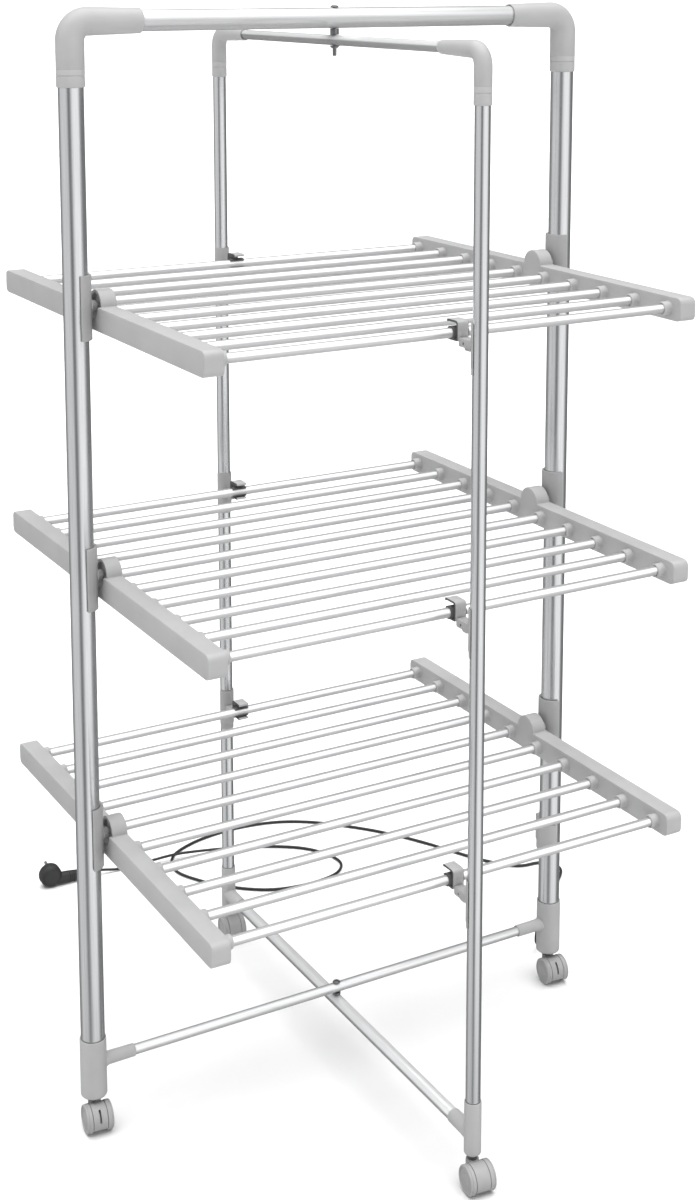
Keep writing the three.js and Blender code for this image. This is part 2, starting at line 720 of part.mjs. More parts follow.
const hingeBracket = () => {
  const inner = WIDE_POST_RADIUS + SLIDE_FIT;
  const outer = inner + BRACKET_WALL;
  const half = BRACKET_HEIGHT / 2;
  const ring = cylinderBetween(
    [WIDE_POST_X, 0, -half],
    [WIDE_POST_X, 0, half],
    outer,
    TUBE_SIDES,
  );
  const outerHalf = boxBetween(
    [WIDE_POST_X, -outer - CUT_OVERRUN, -half - CUT_OVERRUN],
    [WIDE_POST_X + outer + CUT_OVERRUN, outer + CUT_OVERRUN, half + CUT_OVERRUN],
  );
  const boss = barBetween(
    [WIDE_POST_X - inner, 0, 0],
    [RAIL_OUTER_X - BRACKET_BOSS_DEPTH, 0, 0],
    BRACKET_BOSS_RADIUS + BRACKET_WALL,
    BRACKET_BOSS_RADIUS,
    SMALL_SIDES,
  );
  const pin = cylinderBetween(
    [RAIL_OUTER_X, 0, 0],
    [RAIL_OUTER_X - KNUCKLE_RECESS_DEPTH - HINGE_PIN_GRIP, 0, 0],
    HINGE_PIN_RADIUS,
    SMALL_SIDES,
  );
  const postBore = cylinderBetween(
    [WIDE_POST_X, 0, -half - CUT_OVERRUN],
    [WIDE_POST_X, 0, half + CUT_OVERRUN],
    inner,
    TUBE_SIDES,
  );
  return cut(joined(cut(ring, outerHalf), boss, pin), postBore);
};

const raised = (z) => new THREE.Matrix4().makeTranslation(0, 0, z);

const addShelves = () => {
  const railSolid = rail();
  const bankSolid = rodBank();
  const bracketSolid = hingeBracket();
  HINGE_HEIGHTS.forEach((height, i) => {
    const tier = HINGE_HEIGHT_NAMES[i];
    addPiece(`shelf_${tier}_rods`, bankSolid, BRIGHT_ROD, raised(height));
    for (const [side, angle] of SIDES_OF_WIDE) {
      const place = raised(height).multiply(aboutZ(angle));
      addPiece(`shelf_${tier}_rail_${side}`, railSolid, SHELF_PLASTIC, place);
      addPiece(`hinge_bracket_${tier}_${side}`, bracketSolid, PALE_PLASTIC, place);
    }
  });
};

// Clips: a half saddle with an arm and a spring hook, drawn for the rear post turned onto +X
const HOOK_INNER_HALF = HOOK_HALF_HEIGHT - HOOK_WALL;
const HOOK_BACK_X = ROD_Y_LAST + ROD_RADIUS + HOOK_ROOM;
const HOOK_TIP_X = ROD_Y_LAST - HOOK_LIP;

const clipCollar = () => {
  const bore = NARROW_POST_RADIUS + SLIDE_FIT;
  const outer = bore + CLIP_SADDLE_WALL;
  const armTop = ROD_Z - CLIP_ARM_DROP;
  const armBottom = armTop - CLIP_ARM_HEIGHT;
  const ring = cylinderBetween(
    [NARROW_POST_Y, 0, -CLIP_BELOW],
    [NARROW_POST_Y, 0, CLIP_ABOVE],
    outer,
    TUBE_SIDES,
  );
  const outerHalf = boxBetween(
    [NARROW_POST_Y, -outer - CUT_OVERRUN, -CLIP_BELOW - CUT_OVERRUN],
    [NARROW_POST_Y + outer + CUT_OVERRUN, outer + CUT_OVERRUN, CLIP_ABOVE + CUT_OVERRUN],
  );
  const armStart = HOOK_BACK_X + HOOK_WALL + TOUCH_GAP;
  const arm = boxBetween(
    [armStart, -CLIP_ARM_WIDTH / 2, armBottom],
    [NARROW_POST_Y, CLIP_ARM_WIDTH / 2, armTop],
  );
  const foot = boxBetween(
    [armStart + CLIP_FOOT_SETBACK, -CLIP_FOOT_WIDTH / 2, armBottom - CLIP_FOOT_HEIGHT],
    [NARROW_POST_Y, CLIP_FOOT_WIDTH / 2, armBottom + JOIN_OVERLAP],
  );
  const postBore = cylinderBetween(
    [NARROW_POST_Y, 0, -CLIP_BELOW - CUT_OVERRUN],
    [NARROW_POST_Y, 0, CLIP_ABOVE + CUT_OVERRUN],
    bore,
    TUBE_SIDES,
  );
  return cut(joined(cut(ring, outerHalf), arm, foot), postBore);
};

const hook = () => {
  const outerX = HOOK_BACK_X + HOOK_WALL;
  const round = outerX - HOOK_CORNER;
  const roundInner = HOOK_BACK_X - HOOK_CORNER / 2;
  const shape = new THREE.Shape();
  shape.moveTo(HOOK_TIP_X, -HOOK_HALF_HEIGHT);
  shape.lineTo(outerX, -HOOK_HALF_HEIGHT);
  shape.lineTo(outerX, HOOK_HALF_HEIGHT - HOOK_CORNER);
  shape.lineTo(round, HOOK_HALF_HEIGHT);
  shape.lineTo(HOOK_TIP_X, HOOK_HALF_HEIGHT);
  shape.lineTo(HOOK_TIP_X, HOOK_INNER_HALF);
  shape.lineTo(roundInner, HOOK_INNER_HALF);
  shape.lineTo(HOOK_BACK_X, HOOK_INNER_HALF - HOOK_CORNER / 2);
  shape.lineTo(HOOK_BACK_X, -HOOK_INNER_HALF);
  shape.lineTo(HOOK_TIP_X, -HOOK_INNER_HALF);
  const settings = { depth: HOOK_WIDTH, bevelEnabled: false, steps: 1 };
  const geometry = new THREE.ExtrudeGeometry(shape, settings);
  geometry.rotateX(Math.PI / 2);
  geometry.translate(0, HOOK_WIDTH / 2, ROD_Z + HOOK_RISE);
  return toSolid(geometry);
};

const addClips = () => {
  const collarSolid = clipCollar();
  const hookSolid = hook();
  HINGE_HEIGHTS.forEach((height, i) => {
    const tier = HINGE_HEIGHT_NAMES[i];
    for (const [side, angle] of SIDES_OF_NARROW) {
      const place = raised(height).multiply(aboutZ(angle));
      addPiece(`clip_collar_${tier}_${side}`, collarSolid, PALE_PLASTIC, place);
      addPiece(`clip_hook_${tier}_${side}`, hookSolid, PALE_PLASTIC, place);
    }
  });
};

// Castors are drawn about their swivel axis with the axle along X, trailing towards -Y
const AXLE_Y = -CASTOR_TRAIL;
const WHEEL_CORNER_RADIUS = WHEEL_RADIUS / Math.cos(Math.PI / WHEEL_SIDES);
const HOOD_RADIUS = WHEEL_RADIUS - HOOD_INSET;

const alongAxle = (fromX, toX, radius, sides) => {
  const geometry = new THREE.CylinderGeometry(radius, radius, toX - fromX, sides);
  geometry.rotateY(Math.PI / sides);
  geometry.rotateZ(Math.PI / 2);
  geometry.translate((fromX + toX) / 2, AXLE_Y, WHEEL_RADIUS);
  return toSolid(geometry);
};

const castorHousing = () => {
  const half = HOOD_WIDTH / 2;
  const hood = alongAxle(-half, half, HOOD_RADIUS, WHEEL_SIDES);
  const belowHood = boxBetween(
    [-HOOD_WIDTH, AXLE_Y - 2 * WHEEL_RADIUS, -CUT_OVERRUN],
    [HOOD_WIDTH, AXLE_Y + 2 * WHEEL_RADIUS, HOOD_CLEARANCE],
  );
  const slot = boxBetween(
    [-HOOD_SLOT_WIDTH / 2, AXLE_Y - 2 * WHEEL_RADIUS, WHEEL_RADIUS],
    [HOOD_SLOT_WIDTH / 2, AXLE_Y, HOOD_SLOT_TOP],
  );
  const slotFloor = alongAxle(-half, half, HOOD_RADIUS - HOOD_SLOT_DEPTH, WHEEL_SIDES);
  const neck = cylinderBetween(onAxis(NECK_BOTTOM), onAxis(NECK_TOP), NECK_RADIUS, SMALL_SIDES);
  const washerTop = SLEEVE_BOTTOM - TOUCH_GAP;
  const washer = cylinderBetween(
    onAxis(NECK_TOP - JOIN_OVERLAP),
    onAxis(washerTop),
    WASHER_RADIUS,
    SMALL_SIDES,
  );
  const stem = cylinderBetween(
    onAxis(washerTop - JOIN_OVERLAP),
    onAxis(SLEEVE_BOTTOM + STEM_GRIP),
    STEM_RADIUS,
    SMALL_SIDES,
  );
  const axleHole = alongAxle(
    -half - CUT_OVERRUN,
    half + CUT_OVERRUN,
    AXLE_RADIUS + RUNNING_FIT,
    SMALL_SIDES,
  );
  return cut(joined(cut(hood, belowHood, cut(slot, slotFloor)), neck, washer, stem), axleHole);
};

const wheelPair = () => {
  const inner = HOOD_WIDTH / 2 + RUNNING_FIT;
  const outer = inner + WHEEL_WIDTH;
  let pair = alongAxle(-inner - JOIN_OVERLAP, inner + JOIN_OVERLAP, AXLE_RADIUS, SMALL_SIDES);
  for (const side of [-1, 1]) {
    const near = Math.min(side * inner, side * outer);
    const far = Math.max(side * inner, side * outer);
    const wheel = alongAxle(near, far, WHEEL_CORNER_RADIUS, WHEEL_SIDES);
    const dishNear = Math.min(side * (outer - WHEEL_DISH), side * (outer + CUT_OVERRUN));
    const dishFar = Math.max(side * (outer - WHEEL_DISH), side * (outer + CUT_OVERRUN));
    const dish = alongAxle(dishNear, dishFar, WHEEL_RADIUS - WHEEL_RIM, WHEEL_SIDES);
    pair = joined(pair, cut(wheel, dish));
  }
  return pair;
};

const addCastors = () => {
  const housingSolid = castorHousing();
  const wheelSolid = wheelPair();
  const places = [
    ['right', WIDE_POST_X, 0],
    ['left', -WIDE_POST_X, 0],
    ['rear', 0, NARROW_POST_Y],
    ['front', 0, -NARROW_POST_Y],
  ];
  for (const [side, x, y] of places) {
    const place = new THREE.Matrix4().makeTranslation(x, y, 0).multiply(aboutZ(CASTOR_TURN));
    addPiece(`castor_${side}_housing`, housingSolid, WHEEL_PLASTIC, place);
    addPiece(`castor_${side}_wheels`, wheelSolid, WHEEL_PLASTIC, place);
  }
};

// Cord outlet: a saddle on the inner side of the post, with a box behind it for the cord
const addOutlet = () => {
  const inner = WIDE_POST_RADIUS + SLIDE_FIT;
  const outer = inner + OUTLET_WALL;
  const ring = cylinderBetween(
    [WIDE_POST_X, 0, OUTLET_BOTTOM],
    [WIDE_POST_X, 0, OUTLET_TOP],
    outer,
    TUBE_SIDES,
  );
  const frontOuter = boxBetween(
    [WIDE_POST_X, -outer - CUT_OVERRUN, OUTLET_BOTTOM - CUT_OVERRUN],
    [WIDE_POST_X + outer + CUT_OVERRUN, 0, OUTLET_TOP + CUT_OVERRUN],
  );
  const box = boxBetween(
    [CORD_EXIT_X - OUTLET_BOX_WIDTH / 2, inner - OUTLET_WALL, OUTLET_BOTTOM],
    [CORD_EXIT_X + OUTLET_BOX_WIDTH / 2, inner + OUTLET_BOX_DEPTH, OUTLET_TOP],
  );
  const relief = barBetween(
    [CORD_EXIT_X, CORD_EXIT_Y, OUTLET_BOTTOM + JOIN_OVERLAP],
    [CORD_EXIT_X, CORD_EXIT_Y, OUTLET_BOTTOM - RELIEF_LENGTH],
    RELIEF_TOP_RADIUS,
    RELIEF_END_RADIUS,
    SMALL_SIDES,
  );
  const bore = cylinderBetween(
    [WIDE_POST_X, 0, OUTLET_BOTTOM - CUT_OVERRUN],
    [WIDE_POST_X, 0, OUTLET_TOP + CUT_OVERRUN],
    inner,
    TUBE_SIDES,
  );
  addPiece('cord_outlet', cut(joined(cut(ring, frontOuter), box, relief), bore), PALE_PLASTIC);
};

// The cord keeps to its outlet when the post moves
const CORD_SHIFT = CORD_EXIT_X - CORD_POINTS[0][0];
const cordPoint = ([x, y, z]) => new THREE.Vector3(x + CORD_SHIFT, y, z);

const addCord = () => {
  const handPoints = CORD_POINTS.map(cordPoint);
  const spline = new THREE.CatmullRomCurve3(handPoints, false, 'centripetal');
  const points = spline.getPoints((handPoints.length - 1) * CORD_STEPS_PER_POINT);
  addPiece('power_cord', sweep(points, CORD_RADIUS, CORD_SIDES), BLACK_VINYL);
};

// Plug drawn with its grip along +X from the cord and its pins along -Y, then turned and set down
const addPlug = () => {
  const end = cordPoint(CORD_POINTS[CORD_POINTS.length - 1]);
  const heading = Math.atan2(PLUG_HEADING_SHARES[1], PLUG_HEADING_SHARES[0]);
  const half = PLUG_HEAD_DEPTH / 2;
  const rimHalf = half - PLUG_HEAD_CHAMFER;
  const headAt = (y) => [PLUG_GRIP_LENGTH, y, PLUG_HEAD_RADIUS - end.z];
  const faceRadius = PLUG_HEAD_RADIUS - PLUG_HEAD_CHAMFER;
  const rim = cylinderBetween(headAt(-rimHalf), headAt(rimHalf), PLUG_HEAD_RADIUS, TUBE_SIDES);
  const back = barBetween(
    headAt(rimHalf - JOIN_OVERLAP),
    headAt(half),
    PLUG_HEAD_RADIUS,
    faceRadius,
    TUBE_SIDES,
  );
  const face = cylinderBetween(headAt(-half), headAt(JOIN_OVERLAP - rimHalf), faceRadius, TUBE_SIDES);
  const grip = barBetween(
    [TOUCH_GAP, 0, 0],
    [PLUG_GRIP_LENGTH, 0, PLUG_GRIP_RADIUS - end.z + TOUCH_GAP],
    PLUG_GRIP_END_RADIUS,
    PLUG_GRIP_RADIUS,
    SMALL_SIDES,
  );
  let plug = joined(rim, back, face, grip);
  for (const side of [-1, 1]) {
    const pinZ = PLUG_HEAD_RADIUS - end.z + side * PLUG_PIN_SPREAD;
    const pin = cylinderBetween(
      [PLUG_GRIP_LENGTH, JOIN_OVERLAP - half, pinZ],
      [PLUG_GRIP_LENGTH, -half - PLUG_PIN_LENGTH, pinZ],
      PLUG_PIN_RADIUS,
      SMALL_SIDES,
    );
    plug = joined(plug, pin);
  }
  const place = new THREE.Matrix4().makeTranslation(end.x, end.y, end.z).multiply(aboutZ(heading));
  addPiece('plug', plug, BLACK_VINYL, place);
};

addFrame('wide', SIDES_OF_WIDE, WIDE_SIZE);
addFrame('narrow', SIDES_OF_NARROW, NARROW_SIZE);
addPivots();
addShelves();
addClips();
addCastors();
addOutlet();
addCord();
addPlug();

// The origin moves to the centre of the footprint, which leaves out the cord and its plug
const footprint = new THREE.Box3();
for (const piece of airer.children) {
  if (!CORD_NAMES.includes(piece.name)) footprint.expandByObject(piece, true);
}
const centre = footprint.getCenter(new THREE.Vector3());
airer.position.set(-centre.x, -centre.y, 0);

export default airer;
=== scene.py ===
import json
import math

import bmesh
import bpy
from mathutils import Matrix, Vector


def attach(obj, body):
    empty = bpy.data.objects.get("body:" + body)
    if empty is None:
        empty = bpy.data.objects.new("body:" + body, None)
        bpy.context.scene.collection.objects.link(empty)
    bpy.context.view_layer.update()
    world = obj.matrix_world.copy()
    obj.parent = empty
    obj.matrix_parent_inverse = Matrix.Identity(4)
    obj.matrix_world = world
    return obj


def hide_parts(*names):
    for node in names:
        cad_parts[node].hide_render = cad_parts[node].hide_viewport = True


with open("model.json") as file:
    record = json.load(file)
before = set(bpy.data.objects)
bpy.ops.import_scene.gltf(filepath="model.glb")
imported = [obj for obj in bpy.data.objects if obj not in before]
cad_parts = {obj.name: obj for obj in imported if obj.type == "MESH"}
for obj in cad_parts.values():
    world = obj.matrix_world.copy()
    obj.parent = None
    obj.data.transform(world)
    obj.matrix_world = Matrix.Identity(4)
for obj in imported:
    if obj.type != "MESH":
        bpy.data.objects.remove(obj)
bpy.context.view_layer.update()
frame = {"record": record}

# Lengths are in millimetres here and are brought to metres when a mesh is placed
MM = 0.001
# The axis of the centre pivots stands this far from the origin
SHIFT_X, SHIFT_Y = 0.76255, 11.48176
TO_METRES = Matrix.Translation((SHIFT_X * MM, SHIFT_Y * MM, 0)) @ Matrix.Scale(MM, 4)

behaviour = frame["record"]["behaviour"]
BODY_OF = {node: body for body, nodes in behaviour["bodies"].items() for node in nodes}

# Camera at the photograph's viewpoint, with its angles in radians
IMAGE_HEIGHT_PX = 1200
FOCAL_PX = 1832.302
PRINCIPAL_Y_PX = 249.944
SENSOR_WIDTH = 36
YAW, PITCH, ROLL = 0.5157672, -0.1491666, -0.0007869
EYE = (-1115.45, -2006.08, 1433.09)
NEAREST, FARTHEST = 0.05, 200


def add_camera():
    data = bpy.data.cameras.new("camera")
    camera = bpy.data.objects.new("camera", data)
    bpy.context.scene.collection.objects.link(camera)
    data.sensor_fit = "AUTO"
    data.sensor_width = SENSOR_WIDTH
    data.lens = FOCAL_PX / IMAGE_HEIGHT_PX * SENSOR_WIDTH
    data.shift_y = (PRINCIPAL_Y_PX - IMAGE_HEIGHT_PX / 2) / IMAGE_HEIGHT_PX
    data.clip_start = NEAREST
    data.clip_end = FARTHEST
    forward = Vector((math.sin(YAW) * math.cos(PITCH), math.cos(YAW) * math.cos(PITCH), math.sin(PITCH)))
    right = Vector((math.cos(YAW), -math.sin(YAW), 0))
    up = right.cross(forward)
    right, up = (
        math.cos(ROLL) * right + math.sin(ROLL) * up,
        math.cos(ROLL) * up - math.sin(ROLL) * right,
    )
    turn = Matrix((right, up, -forward)).transposed().to_4x4()
    camera.matrix_world = Matrix.Translation(TO_METRES @ Vector(EYE)) @ turn
    bpy.context.scene.camera = camera


add_camera()

# Materials
WHITE = (1, 1, 1)
# Most of a noise lies between these two values
NOISE_LOW, NOISE_HIGH = 0.3, 0.7


def grey(value):
    return (value, value, value)


def new_material(name, color, roughness, metallic=0.0):
    material = bpy.data.materials.new(name)
    material.use_nodes = True
    tree = material.node_tree
    shader = tree.nodes["Principled BSDF"]
    shader.inputs["Base Color"].default_value = (*color, 1)
    shader.inputs["Roughness"].default_value = roughness
    shader.inputs["Metallic"].default_value = metallic
    return material, tree, shader


def add_noise(tree, scale, detail=3.0, stretch=(1, 1, 1)):
    coords = tree.nodes.new("ShaderNodeTexCoord")
    mapping = tree.nodes.new("ShaderNodeMapping")
    mapping.inputs["Scale"].default_value = stretch
    noise = tree.nodes.new("ShaderNodeTexNoise")
    noise.inputs["Scale"].default_value = scale
    noise.inputs["Detail"].default_value = detail
    tree.links.new(coords.outputs["Object"], mapping.inputs["Vector"])
    tree.links.new(mapping.outputs["Vector"], noise.inputs["Vector"])
    return noise.outputs["Fac"]


def ramp_between(tree, factor, low_place, high_place, low, high):
    ramp = tree.nodes.new("ShaderNodeValToRGB")
    ramp.color_ramp.elements[0].position = low_place
    ramp.color_ramp.elements[1].position = high_place
    ramp.color_ramp.elements[0].color = (*low, 1)
    ramp.color_ramp.elements[1].color = (*high, 1)
    tree.links.new(factor, ramp.inputs["Fac"])
    return ramp.outputs["Color"]


def range_between(tree, factor, low, high):
    node = tree.nodes.new("ShaderNodeMapRange")
    node.inputs["From Min"].default_value = NOISE_LOW
    node.inputs["From Max"].default_value = NOISE_HIGH
    node.inputs["To Min"].default_value = low
    node.inputs["To Max"].default_value = high
    tree.links.new(factor, node.inputs["Value"])
    return node.outputs["Result"]


def add_bump(tree, shader, height, strength, distance):
    bump = tree.nodes.new("ShaderNodeBump")
    bump.inputs["Strength"].default_value = strength
    bump.inputs["Distance"].default_value = distance
    tree.links.new(height, bump.inputs["Height"])
    tree.links.new(bump.outputs["Normal"], shader.inputs["Normal"])


# Drawn metal has fine lines along one axis and slow blotches in its gloss
LINE_STRETCH, LINE_SCALE, LINE_DETAIL, LINE_BUMP = 0.012, 1400.0, 4.0, 0.25
LINE_DARKEST, LINE_LIGHTEST = 0.25, 0.75
BLOTCH_SCALE = 9.0


def drawn_metal(name, axis, color, dark, roughness, spread, line_depth, metallic=1.0):
    material, tree, shader = new_material(name, color, roughness, metallic)
    along = [LINE_STRETCH if i == axis else 1.0 for i in range(3)]
    lines = add_noise(tree, LINE_SCALE, LINE_DETAIL, along)
    blotches = add_noise(tree, BLOTCH_SCALE)
    base = ramp_between(tree, lines, LINE_DARKEST, LINE_LIGHTEST, dark, color)
    tree.links.new(base, shader.inputs["Base Color"])
    rough = range_between(tree, blotches, roughness - spread, roughness + spread)
    tree.links.new(rough, shader.inputs["Roughness"])
    add_bump(tree, shader, lines, LINE_BUMP, line_depth)
    return material


# Moulded plastic has soft clouds in its colour and fine pores in its surface
CLOUD_SCALE, CLOUD_DARK, CLOUD_LIGHT = 22.0, 0.955, 1.03
PORE_SCALE, PORE_DETAIL, PORE_BUMP, PORE_DEPTH = 1900.0, 2.0, 0.35, 0.00006
PORE_SMOOTHER, PORE_ROUGHER = 0.05, 0.07
PLASTIC_SPECULAR = 0.45


def moulded_plastic(name, color, roughness, grain=PORE_DEPTH):
    material, tree, shader = new_material(name, color, roughness)
    clouds = add_noise(tree, CLOUD_SCALE)
    pores = add_noise(tree, PORE_SCALE, PORE_DETAIL)
    low = tuple(c * CLOUD_DARK for c in color)
    high = tuple(min(1.0, c * CLOUD_LIGHT) for c in color)
    base = ramp_between(tree, clouds, NOISE_LOW, NOISE_HIGH, low, high)
    tree.links.new(base, shader.inputs["Base Color"])
    rough = range_between(tree, pores, roughness - PORE_SMOOTHER, roughness + PORE_ROUGHER)
    tree.links.new(rough, shader.inputs["Roughness"])
    add_bump(tree, shader, pores, PORE_BUMP, grain)
    shader.inputs["Specular IOR Level"].default_value = PLASTIC_SPECULAR
    return material


# Height on a round runs from 0 at its bottom to 1 at its top
UNDER_START, UNDER_END = 0.52, 0.67
TOP_FADE = 0.05


# Painted shade on rods and level bars: the base colour is darkened on the underside of their round as
# painted shade, and along the top of their round as a painted dark line that stands for the dark edge of
# their reflection
def paint_shade_on_round(material, under_shade, top_shade, top_start):
    tree = material.node_tree
    color = tree.nodes["Principled BSDF"].inputs["Base Color"]
    base = color.links[0].from_socket
    coords = tree.nodes.new("ShaderNodeTexCoord")
    split = tree.nodes.new("ShaderNodeSeparateXYZ")
    tree.links.new(coords.outputs["Normal"], split.inputs["Vector"])
    place = tree.nodes.new("ShaderNodeMapRange")
    place.inputs["From Min"].default_value = -1
    tree.links.new(split.outputs["Z"], place.inputs["Value"])
    height = place.outputs["Result"]
    # Painted shade on the underside, and a painted dark line along the top
    under = ramp_between(tree, height, UNDER_START, UNDER_END, grey(under_shade), WHITE)
    top = ramp_between(tree, height, top_start, top_start + TOP_FADE, WHITE, grey(top_shade))
    for tint in (under, top):
        blend = tree.nodes.new("ShaderNodeMix")
        blend.data_type = "RGBA"
        blend.blend_type = "MULTIPLY"
        blend.inputs["Factor"].default_value = 1
        tree.links.new(base, blend.inputs["A"])
        tree.links.new(tint, blend.inputs["B"])
        base = blend.outputs["Result"]
    tree.links.new(base, color)


AXIS_X, AXIS_Y, AXIS_Z = 0, 1, 2
POST_COLOR, POST_DARK = (0.66, 0.67, 0.68), (0.56, 0.57, 0.58)
BAR_COLOR, BAR_DARK = (0.8, 0.805, 0.81), (0.72, 0.725, 0.73)
ROD_COLOR, ROD_DARK = (0.93, 0.93, 0.94), (0.9, 0.9, 0.91)
STEEL_COLOR, STEEL_DARK = (0.24, 0.24, 0.25), (0.15, 0.15, 0.16)
PIN_COLOR, PIN_DARK = (0.72, 0.7, 0.64), (0.6, 0.58, 0.52)


def satin_tube(axis, color, dark, metallic):
    return drawn_metal(f"satin_tube_{'xyz'[axis]}", axis, color, dark, 0.24, 0.03, 0.00003, metallic)


SATIN = {
    AXIS_X: satin_tube(AXIS_X, BAR_COLOR, BAR_DARK, 0.55),
    AXIS_Y: satin_tube(AXIS_Y, BAR_COLOR, BAR_DARK, 0.45),
    AXIS_Z: satin_tube(AXIS_Z, POST_COLOR, POST_DARK, 1.0),
}
BRIGHT = drawn_metal("bright_rod", AXIS_X, ROD_COLOR, ROD_DARK, 0.2, 0.02, 0.000006, 0.3)
# Painted underside shade and a painted dark top line on the rods and on the bars of both frames
paint_shade_on_round(BRIGHT, 0.5, 0.4, 0.9)
paint_shade_on_round(SATIN[AXIS_X], 0.6, 0.6, 0.94)
paint_shade_on_round(SATIN[AXIS_Y], 0.42, 0.9, 0.94)
FRAME_PLASTIC = moulded_plastic("frame_plastic", grey(0.355), 0.42)
CLIP_PLASTIC = moulded_plastic("clip_plastic", grey(0.3), 0.4)
SHELF_PLASTIC = moulded_plastic("shelf_plastic", grey(0.34), 0.45)
WHEEL_PLASTIC = moulded_plastic("wheel_plastic", grey(0.3), 0.48, 0.00009)
DARK_PLASTIC = moulded_plastic("dark_plastic", (0.07, 0.07, 0.072), 0.5)
STEEL = drawn_metal("dark_steel", AXIS_X, STEEL_COLOR, STEEL_DARK, 0.34, 0.05, 0.00004)
PIN_METAL = drawn_metal("plug_pin_metal", AXIS_Y, PIN_COLOR, PIN_DARK, 0.25, 0.04, 0.00002)
VINYL = moulded_plastic("black_vinyl", (0.018, 0.018, 0.019), 0.48, 0.00005)

# Mesh helpers
ROUND_SIDES = 40
ON_AXIS = 1e-6
# The most of an edge that one rounded corner takes
CORNER_SHARE = 0.49
BEVEL_ANGLE = math.radians(50)
SHARP_ANGLE = math.radians(34)


def turned(angle):
    return Matrix.Rotation(angle, 4, "Z")


def moved(x, y, z):
    return Matrix.Translation((x, y, z))


# Maps local Z to the given direction, for lathes drawn along Z
def facing(direction):
    return Vector(direction).to_track_quat("Z", "Y").to_matrix().to_4x4()


# Turns a profile of (radius, height) round Z; closed joins its last point to its first
def lathe(bm, profile, place=None, sides=ROUND_SIDES, closed=False):
    place = place or Matrix.Identity(4)
    rings = []
    for radius, height in profile:
        if radius < ON_AXIS:
            rings.append([bm.verts.new(place @ Vector((0, 0, height)))])
            continue
        ring = []
        for i in range(sides):
            angle = 2 * math.pi * i / sides
            point = Vector((radius * math.cos(angle), radius * math.sin(angle), height))
            ring.append(bm.verts.new(place @ point))
        rings.append(ring)
    stitch(bm, rings, closed)


# Joins rings of vertices by faces, and a ring of one vertex by triangles
def stitch(bm, rings, closed=False, caps=False):
    pairs = list(zip(rings, rings[1:]))
    if closed:
        pairs.append((rings[-1], rings[0]))
    for lower, upper in pairs:
        count = max(len(lower), len(upper))
        if count == 1:
            continue
        for i in range(count):
            corners = [
                lower[i % len(lower)],
                lower[(i + 1) % len(lower)],
                upper[(i + 1) % len(upper)],
                upper[i % len(upper)],
            ]
            bm.faces.new(list(dict.fromkeys(corners)))
    if caps:
        bm.faces.new(rings[0])
        bm.faces.new(rings[-1])


# Replaces each corner (a, b, radius) of a flat outline by a short curve
def rounded(corners, steps=4, closed=True):
    points = []
    count = len(corners)
    for i, (a, b, radius) in enumerate(corners):
        here = Vector((a, b))
        if radius <= 0 or (not closed and i in (0, count - 1)):
            points.append((a, b))
            continue
        back = Vector(corners[i - 1][:2]) - here
        ahead = Vector(corners[(i + 1) % count][:2]) - here
        reach = min(radius, CORNER_SHARE * back.length, CORNER_SHARE * ahead.length)
        start = here + back.normalized() * reach
        end = here + ahead.normalized() * reach
        for k in range(steps + 1):
            t = k / steps
            point = (1 - t) ** 2 * start + 2 * t * (1 - t) * here + t * t * end
            points.append((point.x, point.y))
    return points


# An outline in (u, v) with thickness along w, bevelled all round
def prism(bm, outline, low, high, place=None, bevel=0.0, segments=2):
    place = place or Matrix.Identity(4)
    part = bmesh.new()
    lower = [part.verts.new((u, v, low)) for u, v in outline]
    upper = [part.verts.new((u, v, high)) for u, v in outline]
    stitch(part, [lower, upper], caps=True)
    bmesh.ops.recalc_face_normals(part, faces=part.faces)
    if bevel:
        edges = [e for e in part.edges if e.calc_face_angle(0) > BEVEL_ANGLE]
        bmesh.ops.bevel(part, geom=edges, offset=bevel, segments=segments, affect="EDGES", profile=0.5)
    part.transform(place)
    add_shell(bm, part)


def add_shell(bm, part):
    mesh = bpy.data.meshes.new("shell")
    part.to_mesh(mesh)
    part.free()
    bm.from_mesh(mesh)
    bpy.data.meshes.remove(mesh)


def block(bm, low, high, place=None, bevel=0.0, segments=2):
    outline = [(low[0], low[1]), (high[0], low[1]), (high[0], high[1]), (low[0], high[1])]
    prism(bm, outline, low[2], high[2], place, bevel, segments)


# Rings of (distance along, radius) round a path given by a function of distance
def tube_along(bm, path, rings, sides):
    made = []
    for distance, radius in rings:
        centre, tangent, side = path(distance)
        other = tangent.cross(side)
        ring = []
        for i in range(sides):
            angle = 2 * math.pi * i / sides
            offset = radius * (math.cos(angle) * side + math.sin(angle) * other)
            ring.append(bm.verts.new(centre + offset))
        made.append(ring)
    stitch(bm, made, caps=True)


def to_mesh(bm, name):
    bmesh.ops.recalc_face_normals(bm, faces=bm.faces)
    mesh = bpy.data.meshes.new(name)
    bm.to_mesh(mesh)
    bm.free()
    smooth(mesh)
    return mesh


def smooth(mesh):
    mesh.polygons.foreach_set("use_smooth", [True] * len(mesh.polygons))
    mesh.set_sharp_from_angle(angle=SHARP_ANGLE)


# Cuts one mesh by another, both in millimetres
def carve(mesh, cutter_mesh):
    base = bpy.data.objects.new("base", mesh)
    cutter = bpy.data.objects.new("cutter", cutter_mesh)
    for piece in (base, cutter):
        bpy.context.scene.collection.objects.link(piece)
    modifier = base.modifiers.new("cut", "BOOLEAN")
    modifier.operation = "DIFFERENCE"
    modifier.object = cutter
    modifier.solver = "EXACT"
    graph = bpy.context.evaluated_depsgraph_get()
    graph.update()
    result = bpy.data.meshes.new_from_object(base.evaluated_get(graph))
    bpy.data.objects.remove(base)
    bpy.data.objects.remove(cutter)
    smooth(result)
    return result


